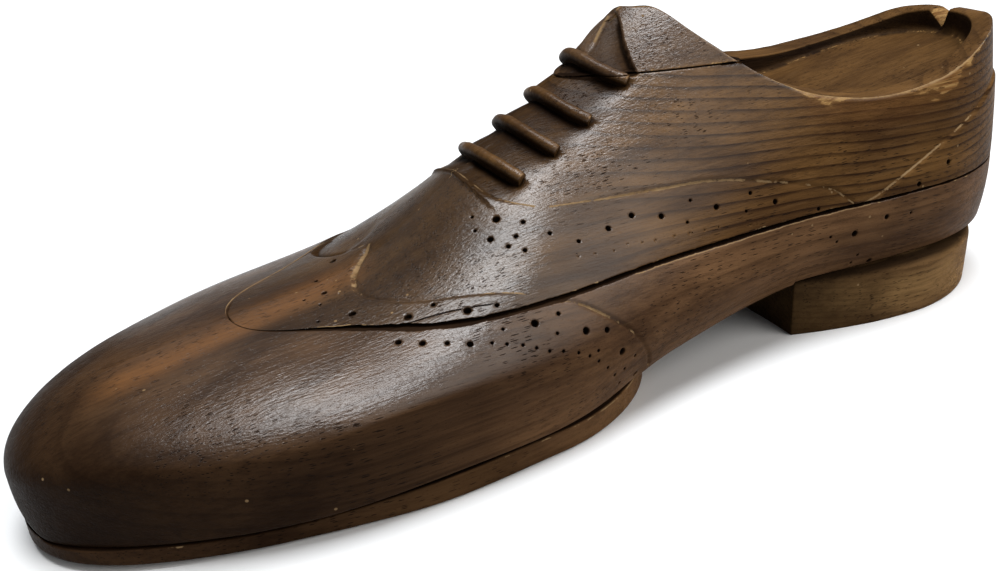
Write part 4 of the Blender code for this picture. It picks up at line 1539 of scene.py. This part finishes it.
def heel_outline(grow):
    """Plan of the heel, from the middle of its breast round the near side."""
    back = HEEL_BACK_X + grow
    t = 1 - (1 - np.linspace(0, 1, 400)) ** 2
    x = HEEL_FRONT_X + t * (back - HEEL_FRONT_X)
    widening = rounded(x - HEEL_FRONT_X, HEEL_WIDENING, 2.0) ** 2
    half = HEEL_HALF_FRONT + (HEEL_HALF_BACK - HEEL_HALF_FRONT) * widening + grow
    half = half * rounded(back - x, *HEEL_ROUND)
    across = np.linspace(1, 0, 60)[1:]
    breast = np.stack((HEEL_FRONT_X + BREAST_CURVE * (1 - across ** 2), across * (HEEL_HALF_FRONT + grow)), 1)
    side = np.concatenate((breast[::-1], np.stack((x, half), 1)))
    outline = np.concatenate((side * (1, -1), side[-2:0:-1])) + (0, HEEL_MIDDLE_Y)
    loop = np.concatenate((outline, outline[:1]))
    run = run_of(loop)
    at = np.linspace(0, run[-1], HEEL_CORNERS, endpoint=False)
    return np.stack((np.interp(at, run, loop[:, 0]), np.interp(at, run, loop[:, 1])), 1)


def heel_level(shape, low, high, outward, z):
    """One level of the heel's side, worn at its bottom edge and creased under the board, with painted shade
    in the crease.
    """
    points = np.column_stack((low + (high - low) * z / HEEL_LIP, np.full(HEEL_CORNERS, z)))
    worn = 0.7 + 0.35 * ripple(points, 14.0, 91)
    inset = 0.3 * worn * np.clip(1 - z / (1.2 * worn), 0, 1) ** 2
    crease = np.clip((z - (HEEL_LIP - 3.0 + 0.4 * ripple(points, 30.0, 92))) / 3.0, 0, 1)
    crease = 4.2 * (1 - np.sqrt(1 - crease ** 2))
    wave = 0.10 * ripple(points, 18.0, 93, 2.0) + 0.05 * ripple(points, 5.0, 94, 3.0)
    points[:, :2] -= outward * (inset + crease + wave)[:, None]
    x = points[:, 0]
    return shape.add(points, {
        # painted shade in the crease under the board
        "lip": z, "lip_worn": 0.35, "dark": 0.9 * ease((z - HEEL_TOP + 2.2) / 1.8),
        "gold": 0.1 + 0.45 * rise(x, 95.0, 125.0) + 0.12 * ripple(points, 9.0, 96, 3.0),
        "stain": 0.8 * rise(x, 100.0, 55.0)})


def heel(material):
    low = heel_outline(0.0)
    high = heel_outline(HEEL_FLARE)
    centre = low.mean(0)
    outward = np.roll(low, -3, 0) - np.roll(low, 3, 0)
    outward = np.stack((outward[:, 1], -outward[:, 0]), 1)
    outward /= size_of(outward)[:, None]
    outward *= np.sign(np.sum(outward * (low - centre), 1))[:, None]
    shape = Mesh()

    def flat(outline, shares, z):
        """Rings of a flat face, at shares of the way out from its centre."""
        return [
            shape.add(np.column_stack((centre + (outline - centre) * share, np.full(HEEL_CORNERS, z))))
            for share in shares]

    rings = flat(low, (0.02, 0.3, 0.6, 0.85, 0.96), 0.0)
    for z in spread(np.array([HEEL_LIP]), HEEL_ROWS)[0]:
        rings.append(heel_level(shape, low, high, outward, z))
    rings += flat(high, (0.84, 0.5, 0.02), HEEL_LIP)
    shape.tube(np.stack(rings))
    mesh, bm = shape.make("heel")
    bmesh.ops.holes_fill(bm, edges=[e for e in bm.edges if e.is_boundary], sides=0)
    settle(mesh, bm, "heel", material, "heel_block")


# Materials

class Graph:
    """Short ways to add and join shader nodes."""

    def __init__(self, name):
        self.material = bpy.data.materials.new(name)
        self.material.use_nodes = True
        self.nodes = self.material.node_tree.nodes
        self.links = self.material.node_tree.links
        self.shader = self.nodes["Principled BSDF"]

    def put(self, socket, value):
        if isinstance(value, bpy.types.NodeSocket):
            self.links.new(value, socket)
        else:
            socket.default_value = value

    def set(self, name, value):
        """Give the material's shader one of its inputs."""
        self.put(self.shader.inputs[name], value)

    def math(self, operation, *values, clamp=False):
        node = self.node("Math")
        node.operation = operation
        node.use_clamp = clamp
        for socket, value in zip(node.inputs, (*values, 0.0, 0.0)):
            self.put(socket, value)
        return node.outputs[0]

    def times(self, a, b):
        return self.math("MULTIPLY", a, b)

    def minus(self, a, b):
        return self.math("SUBTRACT", a, b)

    def most(self, a, b, clamp=False):
        return self.math("MAXIMUM", a, b, clamp=clamp)

    def scaled(self, value, factor, plus, clamp=False):
        """A value times a factor, with something added."""
        return self.math("MULTIPLY_ADD", value, factor, plus, clamp=clamp)

    def node(self, kind, **inputs):
        """A new node with some of its inputs given."""
        node = self.nodes.new("ShaderNode" + kind)
        for name, value in inputs.items():
            self.put(node.inputs[name.replace("_", " ")], value)
        return node

    def mark(self, name):
        node = self.node("Attribute")
        node.attribute_name = name
        return node.outputs["Fac"]

    def place(self, along, across, turn=(0.0, 0.0, 0.0)):
        """Object coordinates in millimetres, turned, and scaled along and across the shoe."""
        source = self.node("TexCoord").outputs["Object"]
        scale = [share / MM for share in (along, across, across)]
        return self.node("Mapping", Vector=source, Scale=scale, Rotation=turn).outputs[0]

    def noise(self, along, across, detail=3.0, rough=0.5, twist=0.0, turn=(0.0, 0.0, 0.0)):
        """Noise with a scale in waves a millimetre, along and across the shoe."""
        node = self.node(
            "TexNoise", Vector=self.place(along, across, turn), Scale=1.0,
            Detail=detail, Roughness=rough, Distortion=twist)
        return node.outputs["Fac"]

    def dashes(self, along, across, size, density):
        """Short dashes, one in some cells of a stretched grid: 1 inside, 0 outside."""
        cells = self.node("TexVoronoi", Vector=self.place(along, across), Scale=1.0)
        spot = self.minus(1.0, self.ramp(cells.outputs["Distance"], size * 0.6, size))
        chance = self.node("SeparateColor", Color=cells.outputs["Color"]).outputs[0]
        return self.times(spot, self.math("LESS_THAN", chance, density))

    def ramp(self, value, low, high):
        """0 below low, 1 above high, smooth between."""
        node = self.node("MapRange", Value=value, From_Min=low, From_Max=high)
        node.interpolation_type = "SMOOTHSTEP"
        return node.outputs["Result"]

    def mix(self, share, a, b):
        """Colour a where the share is 0, and b where it is 1."""
        node = self.node("Mix")
        node.data_type = "RGBA"
        self.put(node.inputs[0], share)
        colours = [socket for socket in node.inputs if socket.type == "RGBA"]
        for socket, value in zip(colours, (a, b)):
            self.put(socket, (*value, 1.0) if isinstance(value, tuple) else value)
        return next(socket for socket in node.outputs if socket.type == "RGBA")

    def cover(self, base, share, strength, colour):
        """Lay a colour over a base where a share says, at most at a strength."""
        return self.mix(self.math("MULTIPLY", share, strength, clamp=True), base, colour)


def line_look(graph, off, worn, rag, breaks):
    """How far a worn line shows: narrow, ragged and broken along its length."""
    edge = graph.scaled(graph.minus(rag, 0.5), 1.6, graph.math("ABSOLUTE", off))
    narrow = graph.minus(1.0, graph.ramp(edge, 0.6, 1.1))
    limit = graph.scaled(worn, -0.5, 0.74)
    return graph.times(narrow, graph.ramp(graph.minus(breaks, limit), 0.0, 0.07))


HEART_Y = 34.0          # the tree's heart runs along the shoe, beside and below it
HEART_DEPTH = 120.0
HEART_SLOPE = 0.03


def growth_rings(graph, shift, spacing):
    """Dark late wood in each year's ring, 0 to 1, on boards cut far from the heart."""
    x, y, z = graph.node("SeparateXYZ", Vector=graph.place(1.0, 1.0)).outputs
    across = graph.minus(y, HEART_Y)
    height = graph.scaled(x, HEART_SLOPE, graph.math("ADD", z, HEART_DEPTH + shift))
    square = graph.scaled(height, height, graph.times(across, across))
    drift = graph.noise(0.007, 0.025, detail=2.0, turn=(0, 0, 0.02 * shift))
    radius = graph.scaled(drift, 7.0, graph.math("SQRT", square))
    year = graph.math("FRACT", graph.times(radius, 1.0 / spacing))
    end = graph.ramp(graph.minus(1.0, year), 0.0, 0.08)
    return graph.times(graph.ramp(year, 0.5, 0.92), end)


# Linear colours laid over the wood
BLOTCH = (0.034, 0.015, 0.007)
LATE_WOOD = (0.016, 0.006, 0.003)
DARK_FIBRE = (0.022, 0.010, 0.005)
PALE_FIBRE = (0.15, 0.085, 0.038)
DARKENED_WOOD = (0.0060, 0.0029, 0.0017)
WARM = (0.185, 0.078, 0.024)
GOLD = (0.20, 0.105, 0.036)
BARE = (0.46, 0.27, 0.10)
BARE_FIBRE = (0.19, 0.085, 0.026)
FLECK = (0.012, 0.006, 0.003)
PORE = (0.006, 0.003, 0.002)
PALE_CHIP = (0.34, 0.225, 0.115)
# painted shade, also the crack's dark line
PAINTED_SHADE_AND_CRACK = (0.004, 0.002, 0.0015)


def board_colour(graph, fibre, light, dark, late, ring_depth):
    """Stained board with broad bands, blotches, growth rings and fibres."""
    broad = graph.noise(0.010, 0.10, detail=3.0, twist=0.3)
    blotch = graph.noise(0.028, 0.05, detail=3.0, turn=(0.3, 0.2, 0.1))
    base = graph.mix(graph.ramp(broad, 0.28, 0.72), dark, light)
    base = graph.cover(base, graph.ramp(blotch, 0.42, 0.7), 0.6, BLOTCH)
    shown = graph.times(graph.times(late, graph.mark("rings")), graph.ramp(blotch, 0.25, 0.5))
    base = graph.cover(base, shown, ring_depth, LATE_WOOD)
    base = graph.cover(base, graph.ramp(fibre, 0.38, 0.75), 0.45, DARK_FIBRE)
    base = graph.cover(base, graph.ramp(graph.minus(1.0, fibre), 0.5, 0.75), 0.3, PALE_FIBRE)
    # darker on the toe and low down, and painted shade on the foot opening's wall
    return graph.cover(base, graph.mark("stain"), 0.95, DARKENED_WOOD)


def worn_colour(graph, fibre, base):
    """Rubbed warm wood, golden wear and torn bare wood over a board's colour."""
    gold = graph.mark("gold")
    warm = graph.times(graph.mark("warm"), graph.scaled(fibre, -1.1, 1.35))
    base = graph.cover(base, warm, 0.9, WARM)
    base = graph.cover(base, gold, 0.5, GOLD)
    thread = graph.noise(0.45, 2.2, detail=5.0, rough=0.75)
    torn = graph.scaled(graph.minus(thread, 0.5), 1.5, gold)
    bare = graph.mix(graph.ramp(fibre, 0.35, 0.65), BARE, BARE_FIBRE)
    return graph.mix(graph.ramp(torn, 0.5, 0.8), base, bare)


def pale_chips(graph, rag, breaks):
    """Where pale wood shows: a few specks, the carved lines and the joints' lips."""
    chips = graph.dashes(0.16, 0.16, 0.075, 0.35)
    offs = {line: graph.mark(line + "_off") for line in LINES if line != "crack"}
    offs["lip"] = graph.times(graph.mark("lip"), 3.0)
    for line, off in offs.items():
        chips = graph.most(chips, line_look(graph, off, graph.mark(line + "_worn"), rag, breaks))
    return chips


def wax(graph, roughness, strokes, worn, pores):
    """Gloss of the wax: on the polished parts, and not where wood is worn or dark."""
    patchy = graph.noise(0.05, 0.12, detail=3.0)
    rough = graph.scaled(patchy, 0.2, roughness - 0.1)
    rough = graph.scaled(graph.minus(strokes, 0.5), 0.5, rough)
    graph.set("Roughness", graph.scaled(worn, 0.3, rough, clamp=True))
    graph.set("Specular IOR Level", 0.02)
    waxed = graph.times(graph.mark("polish"), graph.scaled(patchy, 0.9, 0.6))
    dull = graph.most(worn, pores, clamp=True)
    graph.set("Coat Weight", graph.times(waxed, graph.minus(1.0, dull)))
    graph.set("Coat Roughness", COAT_ROUGHNESS)


def fine_relief(graph, strokes, pores, split):
    """Grain, tool strokes, pores and the crack, too fine for the mesh."""
    grain = graph.noise(0.09, 2.4, detail=2.0)
    height = graph.scaled(grain, 0.5, strokes)
    height = graph.scaled(pores, -0.5, height)
    height = graph.scaled(split, -2.0, height)
    bump = graph.node("Bump", Strength=0.8, Distance=0.0002, Height=height)
    for name in ("Normal", "Coat Normal"):
        graph.set(name, bump.outputs[0])


def stained_wood(name, light, dark, shift, spacing, ring_depth, roughness):
    """Wood stained like walnut under worn wax, with the marks of its carving and use, and painted shade in
    its hollows, holes and joints.
    """
    graph = Graph(name)
    fibre = graph.noise(0.03, 1.0, detail=4.0, rough=0.62)
    region = graph.ramp(graph.noise(0.03, 0.06, detail=1.0), 0.36, 0.6)
    pores = graph.times(graph.dashes(0.25, 2.5, 0.36, 0.45), region)
    flecks = graph.dashes(0.9, 3.2, 0.34, 0.22)
    base = board_colour(graph, fibre, light, dark, growth_rings(graph, shift, spacing), ring_depth)
    base = worn_colour(graph, fibre, base)
    base = graph.cover(base, flecks, 0.35, FLECK)
    base = graph.cover(base, pores, 0.85, PORE)

    rag = graph.noise(0.7, 1.9, detail=3.0, rough=0.6)
    breaks = graph.noise(0.28, 0.28, detail=3.0, rough=0.6)
    chips = pale_chips(graph, rag, breaks)
    faded = graph.times(chips, graph.scaled(breaks, 1.6, -0.1, clamp=True))
    base = graph.cover(base, faded, 0.9, PALE_CHIP)
    split = line_look(graph, graph.mark("crack_off"), graph.mark("crack_worn"), rag, breaks)
    # painted shade, with the crack's dark line
    shade = graph.most(graph.mark("dark"), split, clamp=True)
    graph.set("Base Color", graph.cover(base, shade, 0.94, PAINTED_SHADE_AND_CRACK))

    strokes = graph.noise(0.4, 1.3, detail=3.0, rough=0.7, turn=(0.1, 0.0, 0.12))
    wax(graph, roughness, strokes, graph.most(chips, shade), pores)
    fine_relief(graph, strokes, pores, split)
    return graph.material


def old_glue():
    graph = Graph("old_glue_looks")
    lumps = graph.noise(0.6, 0.6)
    graph.set("Base Color", graph.mix(graph.ramp(lumps, 0.3, 0.7), (0.30, 0.20, 0.09), (0.52, 0.40, 0.22)))
    graph.set("Roughness", graph.scaled(lumps, 0.2, 0.5))
    return graph.material


# Camera, light and floor

def add_camera():
    data = bpy.data.cameras.new("photo_camera")
    data.sensor_width = CAMERA_SENSOR
    data.lens = CAMERA_LENS
    data.clip_start = 0.01
    data.clip_end = 20.0
    camera = bpy.data.objects.new("photo_camera", data)
    level = math.cos(CAMERA_PITCH)
    ahead = Vector((math.sin(CAMERA_YAW) * level, math.cos(CAMERA_YAW) * level, -math.sin(CAMERA_PITCH)))
    right = Vector((math.cos(CAMERA_YAW), -math.sin(CAMERA_YAW), 0.0))
    down = ahead.cross(right)
    turned_right = math.cos(CAMERA_ROLL) * right + math.sin(CAMERA_ROLL) * down
    turned_down = math.cos(CAMERA_ROLL) * down - math.sin(CAMERA_ROLL) * right
    axes = Matrix((turned_right, -turned_down, -ahead)).transposed().to_4x4()
    camera.matrix_world = Matrix.Translation(Vector(CAMERA_PLACE) * MM) @ axes
    bpy.context.scene.collection.objects.link(camera)
    bpy.context.scene.camera = camera


def add_lamp(name, towards, level, width, colour):
    """A large soft lamp far away: its level is what it gives white that faces it."""
    data = bpy.data.lights.new(name, "SUN")
    data.energy = level * math.pi
    data.angle = width
    data.color = colour
    lamp = bpy.data.objects.new(name, data)
    lamp.rotation_euler = Vector(towards).to_track_quat("Z", "Y").to_euler()
    bpy.context.scene.collection.objects.link(lamp)


def add_world():
    """Dim soft light all round."""
    world = bpy.data.worlds.new("studio")
    world.use_nodes = True
    soft = world.node_tree.nodes["Background"]
    soft.inputs["Color"].default_value = (0.92, 0.96, 1.0, 1.0)
    soft.inputs["Strength"].default_value = AMBIENT
    bpy.context.scene.world = world


def seen_directly(graph):
    """1 for rays from the camera, off gloss and through glass."""
    path = graph.node("LightPath")
    share = path.outputs["Is Camera Ray"]
    for name in ("Is Glossy Ray", "Is Transmission Ray"):
        share = graph.most(share, path.outputs[name])
    return share


def add_floor():
    """A floor that is white to the eye and grey to what it lights."""
    bpy.ops.mesh.primitive_plane_add(size=8.0, location=(0, 0, 0))
    floor = bpy.context.object
    floor.name = "floor"
    graph = Graph("pale_floor")
    graph.set("Base Color", graph.mix(seen_directly(graph), (0.30, 0.30, 0.30), (0.95, 0.95, 0.95)))
    graph.set("Roughness", 1.0)
    graph.set("Specular IOR Level", 0.0)
    floor.data.materials.append(graph.material)


# Lamps: where they stand, level on white, width in radians, and colour
LAMPS = {
    "window_above": ((0.03, -0.02, 1.0), 0.92, 0.5, (0.96, 0.98, 1.0)),
    "window_front": ((0.45, -0.75, 0.55), 0.42, 0.95, (1.0, 0.97, 0.93)),
    "window_right": ((0.67, 0.13, 0.72), 0.18, 0.5, (0.94, 0.97, 1.0)),
}
AMBIENT = 0.16
COAT_ROUGHNESS = 0.27

add_camera()
for name, lamp in LAMPS.items():
    add_lamp(name, *lamp)
add_world()
add_floor()

# Woods: light and dark colour, shift, spacing and depth of the growth rings, roughness
lower_board(stained_wood(
    "board_wood_looks", (0.215, 0.112, 0.052), (0.116, 0.060, 0.030), 0.0, 4.2, 0.6, 0.45))
upper_board(stained_wood(
    "upper_wood_looks", (0.180, 0.089, 0.028), (0.088, 0.042, 0.014), 9.0, 2.3, 0.85, 0.45))
tongue_block(stained_wood(
    "tongue_wood_looks", (0.140, 0.076, 0.035), (0.080, 0.040, 0.018), 21.0, 3.5, 0.3, 0.45))
heel(stained_wood(
    "heel_wood_looks", (0.350, 0.205, 0.083), (0.170, 0.092, 0.038), 33.0, 1.9, 0.45, 0.55))
glue = old_glue()
for node in ("lower_glue_line", "upper_glue_line", "heel_glue_line"):
    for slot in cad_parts[node].material_slots:
        slot.material = glue

bpy.context.scene.view_settings.view_transform = "Standard"
